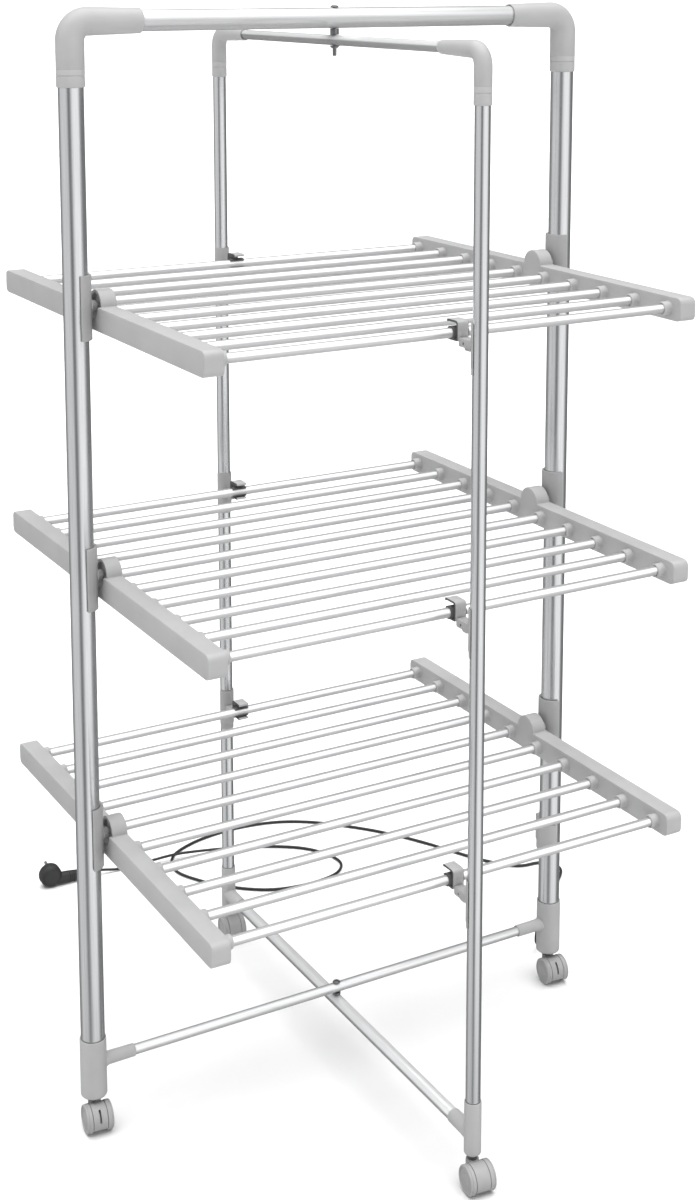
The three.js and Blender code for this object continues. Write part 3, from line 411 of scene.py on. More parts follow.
# Puts a copy of a mesh in place of a node, on the node's body
def dress(node, mesh, material, place=None, label="skin"):
    mesh = mesh.copy()
    mesh.transform(TO_METRES @ (place or Matrix.Identity(4)))
    mesh.materials.clear()
    mesh.materials.append(material)
    piece = bpy.data.objects.new(f"{node}_{label}", mesh)
    bpy.context.scene.collection.objects.link(piece)
    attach(piece, BODY_OF[node])
    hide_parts(node)
    return piece


# Cord and plug
CORD_RADIUS = 2.5
# The visible cord is a little thinner than its solid
CORD_SHOWN_SHARE = 0.86
CORD_STEPS = 6
CORD_BEVEL_STEPS = 5
CORD_POINTS = [
    (355, 25, 173.2), (355, 25.6, 147.6), (356, 29, 113), (358.5, 36, 77), (362.5, 46, 44),
    (369, 56.5, 20.5), (379.6, 66, 8.6), (395.9, 79.9, 3.5), (418.7, 104.7, 2.8),
    (461.3, 151.3, 2.6), (505.9, 197.9, 2.6), (530.7, 222, 2.6), (545.6, 236.6, 2.6),
    (553.1, 249.8, 2.6), (552.2, 265, 2.6), (542.8, 277.5, 2.6), (528.5, 282.7, 2.6),
    (506.9, 285.6, 2.6), (488.1, 296, 2.6), (472.2, 315.9, 2.6), (452.4, 345.6, 2.6),
    (406.8, 435.8, 2.6), (366.2, 500.3, 2.6), (326, 547.9, 2.6), (286.8, 586.5, 2.6),
    (240.2, 616.3, 2.6), (184.7, 632.1, 2.6), (123.3, 633.1, 2.6), (65.8, 620.2, 2.6),
    (24.1, 594.5, 2.6), (8.7, 549.8, 2.6), (28.1, 501.3, 2.6), (68.2, 451.3, 2.6),
    (118.3, 416, 2.6), (177.3, 404.8, 2.6), (229.3, 413, 2.6), (252.1, 436.8, 2.6),
    (251.2, 468.5, 2.6), (226.4, 512.2, 2.6), (176.8, 548.9, 2.7), (118.3, 574.1, 3),
    (71.7, 583.5, 6), (26.1, 588.9, 8.6), (-17.5, 593.4, 6), (-70.7, 598.4, 3.4),
    (-96.9, 601.5, 7.2), (-118.7, 602.8, 8.8), (-134.5, 603.7, 8.8),
]


# A centripetal spline through the points, several steps to each stretch
def spline_through(points, steps):
    points = [Vector(p) for p in points]
    first = 2 * points[0] - points[1]
    last = 2 * points[-1] - points[-2]
    chain = [first, *points, last]
    result = []
    for i in range(1, len(chain) - 2):
        p0, p1, p2, p3 = chain[i - 1 : i + 3]
        t0 = 0.0
        t1 = t0 + (p1 - p0).length ** 0.5
        t2 = t1 + (p2 - p1).length ** 0.5
        t3 = t2 + (p3 - p2).length ** 0.5
        for k in range(steps):
            t = t1 + (t2 - t1) * k / steps
            a1 = (t1 - t) / (t1 - t0) * p0 + (t - t0) / (t1 - t0) * p1
            a2 = (t2 - t) / (t2 - t1) * p1 + (t - t1) / (t2 - t1) * p2
            a3 = (t3 - t) / (t3 - t2) * p2 + (t - t2) / (t3 - t2) * p3
            b1 = (t2 - t) / (t2 - t0) * a1 + (t - t0) / (t2 - t0) * a2
            b2 = (t3 - t) / (t3 - t1) * a2 + (t - t1) / (t3 - t1) * a3
            result.append((t2 - t) / (t2 - t1) * b1 + (t - t1) / (t2 - t1) * b2)
    result.append(points[-1])
    return result


PLUG_HEADING = math.atan2(0.057, -0.998)
PLUG_HEAD_RADIUS, PLUG_HEAD_DEPTH = 17.5, 21
PLUG_FACE_RADIUS, PLUG_BACK_RADIUS = 14.6, 13
PLUG_SIDES = 56
PLUG_GRIP_LENGTH, PLUG_GRIP_LIFT = 48, 1.5
GRIP_RIBS, GRIP_RIB_START, GRIP_RIB_PITCH = 5, 4, 3.4
GRIP_RADIUS, GRIP_GROWTH, GRIP_GROOVE = 8.2, 0.18, 0.7
GRIP_SIDES = 32
PIN_RADIUS, PIN_SHOULDER, PIN_LENGTH, PIN_SINK = 2.35, 17.4, 18.8, 2
PIN_OFFSET = 9.5
PIN_SIDES = 24


def plug_body_mesh(centre_z):
    half = PLUG_HEAD_DEPTH / 2
    head = [
        (0, -half, 0), (PLUG_FACE_RADIUS, -half, 1.2), (PLUG_HEAD_RADIUS, -half + 3, 1.5),
        (PLUG_HEAD_RADIUS, half - 5, 4), (PLUG_BACK_RADIUS, half, 3), (0, half, 0),
    ]
    bm = bmesh.new()
    place = moved(PLUG_GRIP_LENGTH, 0, centre_z) @ facing((0, 1, 0))
    lathe(bm, rounded(head, closed=False), place, PLUG_SIDES)
    grip = [(0, 0.4), (4.2, 0.4), (7.4, 0.7), (8.1, 2)]
    for i in range(GRIP_RIBS):
        start = GRIP_RIB_START + i * GRIP_RIB_PITCH
        crest = GRIP_RADIUS + i * GRIP_GROWTH
        groove = crest - GRIP_GROOVE
        grip += [(crest, start), (groove, start + 0.5), (groove, start + 1.3), (crest + 0.1, start + 1.8)]
    grip += [(9, 23), (9.3, 30), (9.6, 38), (9.85, PLUG_GRIP_LENGTH - 2), (0, PLUG_GRIP_LENGTH)]
    lathe(bm, grip, facing((PLUG_GRIP_LENGTH, 0, PLUG_GRIP_LIFT)), GRIP_SIDES)
    return to_mesh(bm, "plug_body")


def plug_pins_mesh(centre_z):
    profile = [
        (0, -PIN_SINK, 0), (PIN_RADIUS, -PIN_SINK, 0), (PIN_RADIUS, PIN_SHOULDER, 1.6), (0, PIN_LENGTH, 0),
    ]
    bm = bmesh.new()
    for side in (-1, 1):
        spot = moved(PLUG_GRIP_LENGTH, -PLUG_HEAD_DEPTH / 2, centre_z + side * PIN_OFFSET)
        lathe(bm, rounded(profile, closed=False), spot @ facing((0, -1, 0)), PIN_SIDES)
    return to_mesh(bm, "plug_pins")


def plug_pieces():
    end = Vector(CORD_POINTS[-1])
    place = moved(*end) @ turned(PLUG_HEADING)
    centre_z = PLUG_HEAD_RADIUS - end.z
    return [
        dress("plug", plug_body_mesh(centre_z), VINYL, place, "body"),
        dress("plug", plug_pins_mesh(centre_z), PIN_METAL, place, "pins"),
    ]


def add_cord():
    points = [TO_METRES @ p for p in spline_through(CORD_POINTS, CORD_STEPS)]
    curve = bpy.data.curves.new("cord_line", "CURVE")
    curve.dimensions = "3D"
    curve.bevel_depth = CORD_RADIUS * MM * CORD_SHOWN_SHARE
    curve.bevel_resolution = CORD_BEVEL_STEPS
    curve.use_fill_caps = True
    spline = curve.splines.new("POLY")
    spline.points.add(len(points) - 1)
    for point, place in zip(spline.points, points):
        point.co = (*place, 1)
    curve.materials.append(VINYL)
    cord = bpy.data.objects.new("power_cord_skin", curve)
    bpy.context.scene.collection.objects.link(cord)
    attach(cord, BODY_OF["power_cord"])
    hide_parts("power_cord")
    plug_pieces()


add_cord()

# Frames
POST_SIDES = 64
WIDE = {
    "post_x": 349.2, "post_r": 15, "post_bottom": 55.6, "bar_z": 1380, "bar_r": 12.75,
    "elbow_r": 16.75, "elbow_end_r": 15, "bend": 21.5, "elbow_bottom": 1304.6, "inner_x": 261.5,
    "low_z": 83.6, "low_r": 6.5, "sleeve_r": 16.7, "sleeve_top": 118, "root_r": 8.3,
    "socket_r": 7.9, "socket_x": 294,
}
NARROW = {
    "post_x": 333.5, "post_r": 9, "post_bottom": 75.6, "bar_z": 1352.4, "bar_r": 6.5,
    "elbow_r": 10.3, "elbow_end_r": 8.2, "bend": 18.5, "elbow_bottom": 1291.6, "inner_x": 250,
    "low_z": 65.2, "low_r": 8, "sleeve_r": 10.4, "sleeve_top": 108.8, "root_r": 9.5,
    "socket_r": 9.2, "socket_x": 291.5,
}
SIDES_OF_WIDE = (("right", 0.0), ("left", math.pi))
SIDES_OF_NARROW = (("rear", math.pi / 2), ("front", -math.pi / 2))
SLEEVE_BOTTOM, SLEEVE_LIP = 40.6, 6
STEM_HOLE_RADIUS = 5.2
POST_WALL, BAR_WALL = 1.4, 1.2
POST_GAP, BAR_GAP, SOCKET_GAP = 0.25, 0.35, 0.3
POST_IN_ELBOW, BAR_IN_ELBOW, BAR_IN_SOCKET = 34, 40, 26
# How far a mouth is drawn inwards
MOUTH_DEPTH = 5
# The elbow's moulded band and its parting line, from the mouth
BAND_START, BAND_END, BAND_DEPTH = 12.6, 14.2, 0.45
PARTING_LINE, PARTING_DEPTH, PARTING_HALF = 20.6, 0.2, 0.3
BEND_STEPS, TAPER_STEPS = 12, 8
# A side socket flares where it meets its sleeve
FLARE_MOST, FLARE_SHARE, FLARE_KNEE_SHARE = 1.2, 0.35, 0.35


def tube_mesh(radius, length, wall):
    inner = radius - wall
    profile = [(inner, 0, 0.2), (radius, 0, 0.5), (radius, length, 0.5), (inner, length, 0.2)]
    bm = bmesh.new()
    lathe(bm, rounded(profile, 2), sides=POST_SIDES, closed=True)
    return to_mesh(bm, "tube")


# An elbow runs up from its mouth on the post, round the bend and in along the bar
def elbow_mesh(size):
    rise = size["bar_z"] - size["bend"] - size["elbow_bottom"]
    arc = size["bend"] * math.pi / 2
    run = size["post_x"] - size["bend"] - size["inner_x"]

    def path(distance):
        side = Vector((0, 1, 0))
        if distance <= rise:
            return Vector((size["post_x"], 0, size["elbow_bottom"] + distance)), Vector((0, 0, 1)), side
        if distance <= rise + arc:
            angle = (distance - rise) / size["bend"]
            centre = Vector((size["post_x"] - size["bend"], 0, size["bar_z"] - size["bend"]))
            out = Vector((math.cos(angle), 0, math.sin(angle)))
            return centre + size["bend"] * out, Vector((-math.sin(angle), 0, math.cos(angle))), side
        x = size["post_x"] - size["bend"] - (distance - rise - arc)
        return Vector((x, 0, size["bar_z"])), Vector((-1, 0, 0)), side

    radius, end_radius = size["elbow_r"], size["elbow_end_r"]
    bore, bar_bore = size["post_r"] + POST_GAP, size["bar_r"] + BAR_GAP
    rings = [(MOUTH_DEPTH, bore), (0.2, bore), (0, bore + 0.35)]
    rings += [(0, radius - 0.7), (0.2, radius - 0.2), (0.8, radius)]
    rings += [(BAND_START, radius), (BAND_START + 0.4, radius - BAND_DEPTH)]
    rings += [(BAND_END - 0.4, radius - BAND_DEPTH), (BAND_END, radius)]
    rings += [(PARTING_LINE - PARTING_HALF, radius), (PARTING_LINE, radius - PARTING_DEPTH)]
    rings += [(PARTING_LINE + PARTING_HALF, radius), (rise, radius)]
    rings += [(rise + arc * i / BEND_STEPS, radius) for i in range(1, BEND_STEPS + 1)]
    for i in range(1, TAPER_STEPS + 1):
        share = i / TAPER_STEPS
        rings.append((rise + arc + (run - 1.5) * share, radius + (end_radius - radius) * share))
    whole = rise + arc + run
    rings += [(whole - 0.4, end_radius - 0.2), (whole, end_radius - 0.8), (whole, bar_bore + 0.35)]
    rings += [(whole - 0.5, bar_bore), (whole - MOUTH_DEPTH, bar_bore)]
    bm = bmesh.new()
    tube_along(bm, path, rings, POST_SIDES)
    return to_mesh(bm, "elbow")


def sleeve_mesh(size):
    radius, top = size["sleeve_r"], size["sleeve_top"]
    bore = size["post_r"] + POST_GAP
    profile = [
        (bore, top - SLEEVE_LIP, 0), (bore, top, 0.3), (radius - 0.2, top, 0.9),
        (radius, top - SLEEVE_LIP, 1), (radius, SLEEVE_BOTTOM + 2, 1.4), (radius - 2, SLEEVE_BOTTOM, 0.9),
        (STEM_HOLE_RADIUS, SLEEVE_BOTTOM, 0.4), (STEM_HOLE_RADIUS, SLEEVE_BOTTOM + MOUTH_DEPTH, 0),
    ]
    bm = bmesh.new()
    lathe(bm, rounded(profile, closed=False), moved(size["post_x"], 0, 0), POST_SIDES)
    reach = size["post_x"] - size["socket_x"]
    root, end, bar_bore = size["root_r"], size["socket_r"], size["low_r"] + SOCKET_GAP
    flare = min(FLARE_MOST, FLARE_SHARE * (radius - root))
    inside = math.sqrt(radius**2 - (root + flare) ** 2) - 0.2
    socket = [(0, inside), (root + flare, inside), (root + flare, radius)]
    socket += [(root + FLARE_KNEE_SHARE * flare, radius + 1.2), (root, radius + 3.2)]
    socket += [(end, reach - 0.8), (end - 0.25, reach - 0.2), (end - 0.8, reach)]
    socket += [(bar_bore + 0.2, reach), (bar_bore, reach - 0.4), (bar_bore, reach - MOUTH_DEPTH)]
    lathe(bm, socket, moved(size["post_x"], 0, size["low_z"]) @ facing((-1, 0, 0)))
    return to_mesh(bm, "sleeve")


def add_frame(name, sides, size, bar_metal):
    post_top = size["elbow_bottom"] + POST_IN_ELBOW
    post = tube_mesh(size["post_r"], post_top - size["post_bottom"], POST_WALL)
    elbow = elbow_mesh(size)
    sleeve = sleeve_mesh(size)
    for side, angle in sides:
        turn = turned(angle)
        lift = moved(size["post_x"], 0, size["post_bottom"])
        dress(f"{name}_post_{side}", post, SATIN[AXIS_Z], turn @ lift)
        dress(f"{name}_elbow_{side}", elbow, FRAME_PLASTIC, turn)
        dress(f"{name}_foot_sleeve_{side}", sleeve, FRAME_PLASTIC, turn)
    first_angle = sides[0][1]
    for kind, end, z, radius in (
        ("top", size["inner_x"] + BAR_IN_ELBOW, size["bar_z"], size["bar_r"]),
        ("low", size["socket_x"] + BAR_IN_SOCKET, size["low_z"], size["low_r"]),
    ):
        bar = tube_mesh(radius, 2 * end, BAR_WALL)
        place = turned(first_angle) @ moved(-end, 0, z) @ facing((1, 0, 0))
        dress(f"{name}_{kind}_bar", bar, bar_metal, place)


add_frame("wide", SIDES_OF_WIDE, WIDE, SATIN[AXIS_X])
add_frame("narrow", SIDES_OF_NARROW, NARROW, SATIN[AXIS_Y])

# Centre pivots
PIVOT_GAP = 0.3
BOLT_RADIUS, BOLT_TIP_RADIUS, BOLT_TIP = 2.5, 1.9, 0.8
# The domed head as (radius, height over its seat)
BOLT_HEAD = [(4.9, 0), (5.2, 0.4), (5.0, 1), (4.2, 1.8), (2.9, 2.35), (1.4, 2.58), (0, 2.6)]
BOLT_PAST_TOP_BAR, LOW_BOLT_TAIL = 13, 54.6
PIVOT_BORE, SPACER_RADIUS = 2.8, 5.5
NUT_RADIUS, NUT_HEIGHT, FLANGE_RADIUS, FLANGE_HEIGHT = 5, 3, 6.2, 1.2


def bolt_mesh(seat, tail):
    profile = [(0, tail), (BOLT_TIP_RADIUS, tail), (BOLT_RADIUS, tail + BOLT_TIP), (BOLT_RADIUS, seat)]
    profile += [(radius, seat + height) for radius, height in BOLT_HEAD]
    bm = bmesh.new()
    lathe(bm, profile)
    return to_mesh(bm, "bolt")


def spacer_mesh(low, high):
    corners = [
        (PIVOT_BORE, low, 0.2), (SPACER_RADIUS, low, 0.5),
        (SPACER_RADIUS, high, 0.5), (PIVOT_BORE, high, 0.2),
    ]
    bm = bmesh.new()
    lathe(bm, rounded(corners, 2), closed=True)
    return to_mesh(bm, "spacer")


def nut_mesh(low, high):
    angles = [i * math.pi / 3 for i in range(6)]
    hexagon = [(NUT_RADIUS * math.cos(angle), NUT_RADIUS * math.sin(angle)) for angle in angles]
    bm = bmesh.new()
    prism(bm, hexagon, low, high - FLANGE_HEIGHT, bevel=0.3)
    flange_low = high - FLANGE_HEIGHT - 0.2
    corners = [
        (PIVOT_BORE, flange_low, 0), (FLANGE_RADIUS, flange_low, 0.3),
        (FLANGE_RADIUS, high, 0.3), (PIVOT_BORE, high, 0),
    ]
    lathe(bm, rounded(corners, 2), closed=True)
    return to_mesh(bm, "nut")


def add_pivots():
    over_wide_top = WIDE["bar_z"] + WIDE["bar_r"] + PIVOT_GAP
    under_wide_top = WIDE["bar_z"] - WIDE["bar_r"] - PIVOT_GAP
    over_narrow_top = NARROW["bar_z"] + NARROW["bar_r"] + PIVOT_GAP
    narrow_top_low = NARROW["bar_z"] - NARROW["bar_r"]
    nut_top = narrow_top_low - PIVOT_GAP
    over_wide_low = WIDE["low_z"] + WIDE["low_r"] + PIVOT_GAP
    under_wide_low = WIDE["low_z"] - WIDE["low_r"] - PIVOT_GAP
    over_narrow_low = NARROW["low_z"] + NARROW["low_r"] + PIVOT_GAP
    dress("top_pivot_bolt", bolt_mesh(over_wide_top, narrow_top_low - BOLT_PAST_TOP_BAR), STEEL)
    dress("top_pivot_spacer", spacer_mesh(over_narrow_top, under_wide_top), STEEL)
    dress("top_pivot_nut", nut_mesh(nut_top - NUT_HEIGHT, nut_top), STEEL)
    dress("low_pivot_bolt", bolt_mesh(over_wide_low, LOW_BOLT_TAIL), STEEL)
    dress("low_pivot_spacer", spacer_mesh(over_narrow_low, under_wide_low), STEEL)


add_pivots()

# Shelves
TIERS = (("lower", 384.8), ("middle", 715.45), ("upper", 1046.1))
RAIL_INNER, RAIL_OUTER = 304.4, 328.0
RAIL_END, RAIL_HEIGHT, RAIL_CORNER = 310.4, 29.3, 9
RAIL_BEVEL = 1.1
KNUCKLE_RADIUS, KNUCKLE_SETBACK, KNUCKLE_STEPS = 19, 3.5, 36
PIN_HOLE_RADIUS, PIN_HOLE_END = 4.6, 314
RECESS_RADIUS, RECESS_END, RECESS_SIDES = 15.5, 319, 56
# How far a cut runs past the face that it opens
OVERRUN = 2
ROD_COUNT, ROD_PITCH, ROD_RADIUS, ROD_HALF_LENGTH = 10, 63.8, 6, 309
COLLAR_LENGTH, COLLAR_SIDES = 11, 36
# A rod's collar as (radius, distance from its mouth, corner)
COLLAR = [
    (ROD_RADIUS + 0.3, 4, 0), (ROD_RADIUS + 0.3, 0, 0.3), (7.6, 0, 0.5), (8.5, 1.2, 1),
    (8.5, 9.4, 1), (9.6, 11.6, 0),
]
# The saddles that hold brackets and the cord outlet on a post of the wide frame
SADDLE_INNER, SADDLE_OUTER, SADDLE_STEPS = 15.3, 18.8, 28
BRACKET_HALF_HEIGHT = 39
# A bracket's boss and pin as (radius, distance from the post's axis, corner)
BOSS = [
    (9.5, 14, 0), (9.2, 18.6, 1), (7, 20.4, 1.2), (6, 25.4, 0.8), (3.5, 25.6, 0),
    (3.5, 34.2, 0.5), (0, 34.2, 0),
]
ROD_Z = -RAIL_HEIGHT / 2
ROD_YS = [(i - (ROD_COUNT - 1) / 2) * ROD_PITCH for i in range(ROD_COUNT)]
# Columns are the images of local X, Y and Z: outlines in (y, z) with thickness along x
YZ_OUTLINE = Matrix(((0, 0, 1, 0), (1, 0, 0, 0), (0, 1, 0, 0), (0, 0, 0, 1)))


def rail_mesh():
    corners = [(-RAIL_END, -RAIL_HEIGHT, RAIL_CORNER), (RAIL_END, -RAIL_HEIGHT, RAIL_CORNER)]
    corners.append((RAIL_END, 0, RAIL_CORNER))
    for i in range(KNUCKLE_STEPS + 1):
        angle = math.pi * i / KNUCKLE_STEPS
        corners.append((KNUCKLE_RADIUS * math.cos(angle), KNUCKLE_RADIUS * math.sin(angle), 0))
    corners.append((-RAIL_END, 0, RAIL_CORNER))
    bm = bmesh.new()
    prism(bm, rounded(corners, 8), RAIL_INNER, RAIL_OUTER, YZ_OUTLINE, RAIL_BEVEL, 3)
    body = to_mesh(bm, "rail_body")
    past_rail = RAIL_OUTER + OVERRUN
    recess = [
        (0, PIN_HOLE_END, 0), (PIN_HOLE_RADIUS, PIN_HOLE_END, 0), (PIN_HOLE_RADIUS, RECESS_END, 0),
        (RECESS_RADIUS, RECESS_END, 1), (RECESS_RADIUS, past_rail, 0), (0, past_rail, 0),
    ]
    cutter = bmesh.new()
    lathe(cutter, rounded(recess, 3, closed=False), facing((1, 0, 0)), RECESS_SIDES)
    body = carve(body, to_mesh(cutter, "recess"))
    half = KNUCKLE_RADIUS + 0.5
    cutter = bmesh.new()
    block(cutter, (RAIL_OUTER - KNUCKLE_SETBACK, -half, 0.02), (past_rail, half, KNUCKLE_RADIUS + 3))
    body = carve(body, to_mesh(cutter, "setback"))
    bm = bmesh.new()
    bm.from_mesh(body)
    for y in ROD_YS:
        start = moved(RAIL_INNER - COLLAR_LENGTH, y, ROD_Z) @ facing((1, 0, 0))
        lathe(bm, rounded(COLLAR, 3, closed=False), start, COLLAR_SIDES)
    return to_mesh(bm, "rail")


def rods_mesh():
    end = ROD_HALF_LENGTH
    profile = [(0, -end, 0), (ROD_RADIUS, -end, 0.5), (ROD_RADIUS, end, 0.5), (0, end, 0)]
    bm = bmesh.new()
    for y in ROD_YS:
        lathe(bm, rounded(profile, 2, closed=False), moved(0, y, ROD_Z) @ facing((1, 0, 0)))
    return to_mesh(bm, "rods")


# A part ring round the inner side of a post, as an outline in (x, y)
def saddle_outline(post_x, inner, outer, start=math.pi / 2, end=3 * math.pi / 2):
    shares = [i / SADDLE_STEPS for i in range(SADDLE_STEPS + 1)]
    points = []
    for radius, first, last in ((outer, start, end), (inner, end, start)):
        for share in shares:
            angle = first + (last - first) * share
            points.append((post_x + radius * math.cos(angle), radius * math.sin(angle)))
    return points


def bracket_mesh():
    half = BRACKET_HALF_HEIGHT
    bm = bmesh.new()
    prism(bm, saddle_outline(WIDE["post_x"], SADDLE_INNER, SADDLE_OUTER), -half, half, bevel=0.7)
    lathe(bm, rounded(BOSS, 3, closed=False), moved(WIDE["post_x"], 0, 0) @ facing((-1, 0, 0)))
    return to_mesh(bm, "bracket")


rail = rail_mesh()
rods = rods_mesh()
bracket = bracket_mesh()
for tier, height in TIERS:
    lift = moved(0, 0, height)
    dress(f"shelf_{tier}_rods", rods, BRIGHT, lift)
    for side, angle in SIDES_OF_WIDE:
        dress(f"shelf_{tier}_rail_{side}", rail, SHELF_PLASTIC, lift @ turned(angle))
        dress(f"hinge_bracket_{tier}_{side}", bracket, CLIP_PLASTIC, lift @ turned(angle))

# Clips, drawn on a post that stands at +X and turned into place
HOOK_BACK = ROD_YS[-1] + ROD_RADIUS + 2.4
HOOK_TIP = ROD_YS[-1] - 11.5
HOOK_OUTER = HOOK_BACK + 2.5
HOOK_HALF, HOOK_HALF_WIDTH, HOOK_WALL, HOOK_LIP = 11.8, 7.25, 1.3, 3.4
# Ridges on the back of a hook
RIDGE_YS = (-5, -2.5, 0, 2.5, 5)
# The spring strip goes from one end round the rod and back on its inner side
SPRING_OUTER, SPRING_INNER, SPRING_REACH = 7.9, 6.2, math.radians(140)
SPRING_STEPS, SPRING_HALF_WIDTH = 32, 10.5
PLATE_NEAR, PLATE_FAR = 7.15, 7.5
# A clip on its post: the sleeve, the band below it, the web and its foot
CLIP_OUTER, CLIP_LOW, CLIP_HIGH = 10.8, -48, 3
CLIP_BAND_OUTER, CLIP_BAND_LOW = 10.2, -56
WEB_END, WEB_HEIGHT, WEB_HALF_WIDTH = 324.4, 10, 6.5
WEB_HOLE_X, WEB_HOLE_RADIUS = 308, 1.7
FOOT_HEIGHT, FOOT_HALF_WIDTH = 4.5, 4
HOOK_PLACE = moved(0, 0, ROD_Z + 3)
# Outlines in (x, z) with thickness along -y
XZ_OUTLINE = Matrix(((1, 0, 0, 0), (0, 0, -1, 0), (0, 1, 0, 0), (0, 0, 0, 1)))


def web_mesh(near, top):
    low = top - WEB_HEIGHT
    outline = [(near, top, 1), (near, low, 2.5), (WEB_END, low, 0), (WEB_END, top, 0)]
    web = bmesh.new()
    prism(web, rounded(outline), -WEB_HALF_WIDTH, WEB_HALF_WIDTH, XZ_OUTLINE, 0.5)
    hole = [(0, -8, 0), (WEB_HOLE_RADIUS, -8, 0), (WEB_HOLE_RADIUS, -4.5, 0), (0, -4.5, 0)]
    holes = bmesh.new()
    for angle in (0, math.pi):
        place = moved(WEB_HOLE_X, 0, top - 5.5) @ turned(angle) @ facing((0, 1, 0))
        lathe(holes, rounded(hole, 1, closed=False), place, 20)
    return carve(to_mesh(web, "web"), to_mesh(holes, "holes"))


def collar_mesh():
    post_x, bore = NARROW["post_x"], NARROW["post_r"] + POST_GAP
    bm = bmesh.new()
    prism(bm, saddle_outline(post_x, bore, CLIP_OUTER), CLIP_LOW, CLIP_HIGH, bevel=0.4)
    prism(bm, saddle_outline(post_x, bore, CLIP_BAND_OUTER), CLIP_BAND_LOW, CLIP_LOW + 1, bevel=0.3)
    top = ROD_Z - 4
    near = HOOK_OUTER + 0.3
    bm.from_mesh(web_mesh(near, top))
    high = top - WEB_HEIGHT + 1
    low = high - FOOT_HEIGHT
    foot = [
        (near + 8.5, high, 0), (near + 8.5, low, 2.5), (316.5, low, 0), (317.5, low + 1.1, 1),
        (320, low + 1.7, 1), (322.5, low + 0.9, 1), (WEB_END - 1, low, 0), (WEB_END, low, 0),
        (WEB_END, high, 0),
    ]
    prism(bm, rounded(foot, 3), -FOOT_HALF_WIDTH, FOOT_HALF_WIDTH, XZ_OUTLINE, 0.3)
    return to_mesh(bm, "collar")


def hook_mesh():
    tip, outer, half, wall = HOOK_TIP, HOOK_OUTER, HOOK_HALF, HOOK_WALL
    inner, under, over, lip = outer - wall, wall - half, half - wall, half - HOOK_LIP
    outline = [
        (tip, -half, 1.2), (outer, -half, 2.5), (outer, half, 4.5), (tip, half, 2), (tip, lip, 0.5),
        (tip + wall, lip, 0.4), (tip + wall, over, 0.8), (inner, over, 3.4), (inner, under, 1.4),
        (tip + wall, under, 0.5), (tip + wall, 3 - half, 0.4), (tip, 3 - half, 0.5),
    ]
    bm = bmesh.new()
    prism(bm, rounded(outline, 5), -HOOK_HALF_WIDTH, HOOK_HALF_WIDTH, XZ_OUTLINE, 0.1)
    for y in RIDGE_YS:
        block(bm, (outer - 0.4, y - 0.5, -0.5), (outer + 0.2, y + 0.5, half - 4.5), bevel=0.15)
    mesh = to_mesh(bm, "hook")
    mesh.transform(HOOK_PLACE)
    return mesh


# The dark spring clip round the rod, with a thin dark plate over each end of the hook
def liner_mesh():
    tip, outer, half, back = HOOK_TIP, HOOK_OUTER, HOOK_HALF, HOOK_BACK
    lip = half - HOOK_LIP
    plate = [
        (tip, -half, 1.2), (outer, -half, 2.5), (outer, half, 4.5), (tip, half, 2), (tip, lip, 1),
        (tip + 2.5, lip, 1), (tip + 2.8, half - 2.6, 0.8), (back, half - 2.5, 2.5),
        (back, 2.5 - half, 1.2), (tip, 2.5 - half, 1),
    ]
    spring = []
    for radius, sweep in ((SPRING_OUTER, 1), (SPRING_INNER, -1)):
        for i in range(SPRING_STEPS + 1):
            angle = sweep * SPRING_REACH * (2 * i / SPRING_STEPS - 1)
            spring.append((ROD_YS[-1] + radius * math.cos(angle), radius * math.sin(angle) - 3))
    bm = bmesh.new()
    prism(bm, spring, -SPRING_HALF_WIDTH, SPRING_HALF_WIDTH, XZ_OUTLINE, 0.2)
    for low, high in ((-PLATE_FAR, -PLATE_NEAR), (PLATE_NEAR, PLATE_FAR)):
        prism(bm, rounded(plate, 5), low, high, XZ_OUTLINE, 0.1)
    mesh = to_mesh(bm, "liner")
    mesh.transform(HOOK_PLACE)
    return mesh


collar = collar_mesh()
hook = hook_mesh()
liner = liner_mesh()
for tier, height in TIERS:
    for side, angle in SIDES_OF_NARROW:
        place = moved(0, 0, height) @ turned(angle)
        dress(f"clip_collar_{tier}_{side}", collar, CLIP_PLASTIC, place)
        dress(f"clip_hook_{tier}_{side}", hook, FRAME_PLASTIC, place)
        dress(f"clip_hook_{tier}_{side}", liner, DARK_PLASTIC, place, "liner")

# Castors, drawn about the swivel axis with the axle along X
CASTOR_TRAIL = 14
CASTOR_TURN = math.radians(-6)
WHEEL_RADIUS, AXLE_RADIUS = 17.75, 3.2
WHEEL_SIDES, AXLE_SIDES, CORE_SIDES = 64, 24, 48
HOOD_RADIUS, HOOD_HALF = 17.5, 9
# The hood ends over this height
HOOD_BOTTOM = 8
SLOT_HALF_WIDTH, SLOT_TOP = 1.3, 32.5
CORE_RADIUS, CORE_HALF = 10, 8
AXLE_PLACE = moved(0, -CASTOR_TRAIL, WHEEL_RADIUS)
AXLE = AXLE_PLACE @ facing((1, 0, 0))
# The outer side of a wheel as (radius, distance from the middle, corner)
WHEEL = [
    (AXLE_RADIUS, 8, 0), (AXLE_RADIUS, 9.6, 0), (17.3, 9.6, 0.2), (WHEEL_RADIUS, 10, 0.3),
    (WHEEL_RADIUS, 13.9, 0.2), (17.3, 14.1, 0.1), (17.3, 14.5, 0.1), (WHEEL_RADIUS, 14.7, 0.2),
    (WHEEL_RADIUS, 16, 1.1), (16.7, 17, 0.8), (15.2, 17, 0.4), (14.6, 15.4, 0.6), (8.4, 15.6, 0.8),
    (7.6, 16.3, 0.6), (4.5, 16.6, 0), (0, 16.7, 0),
]
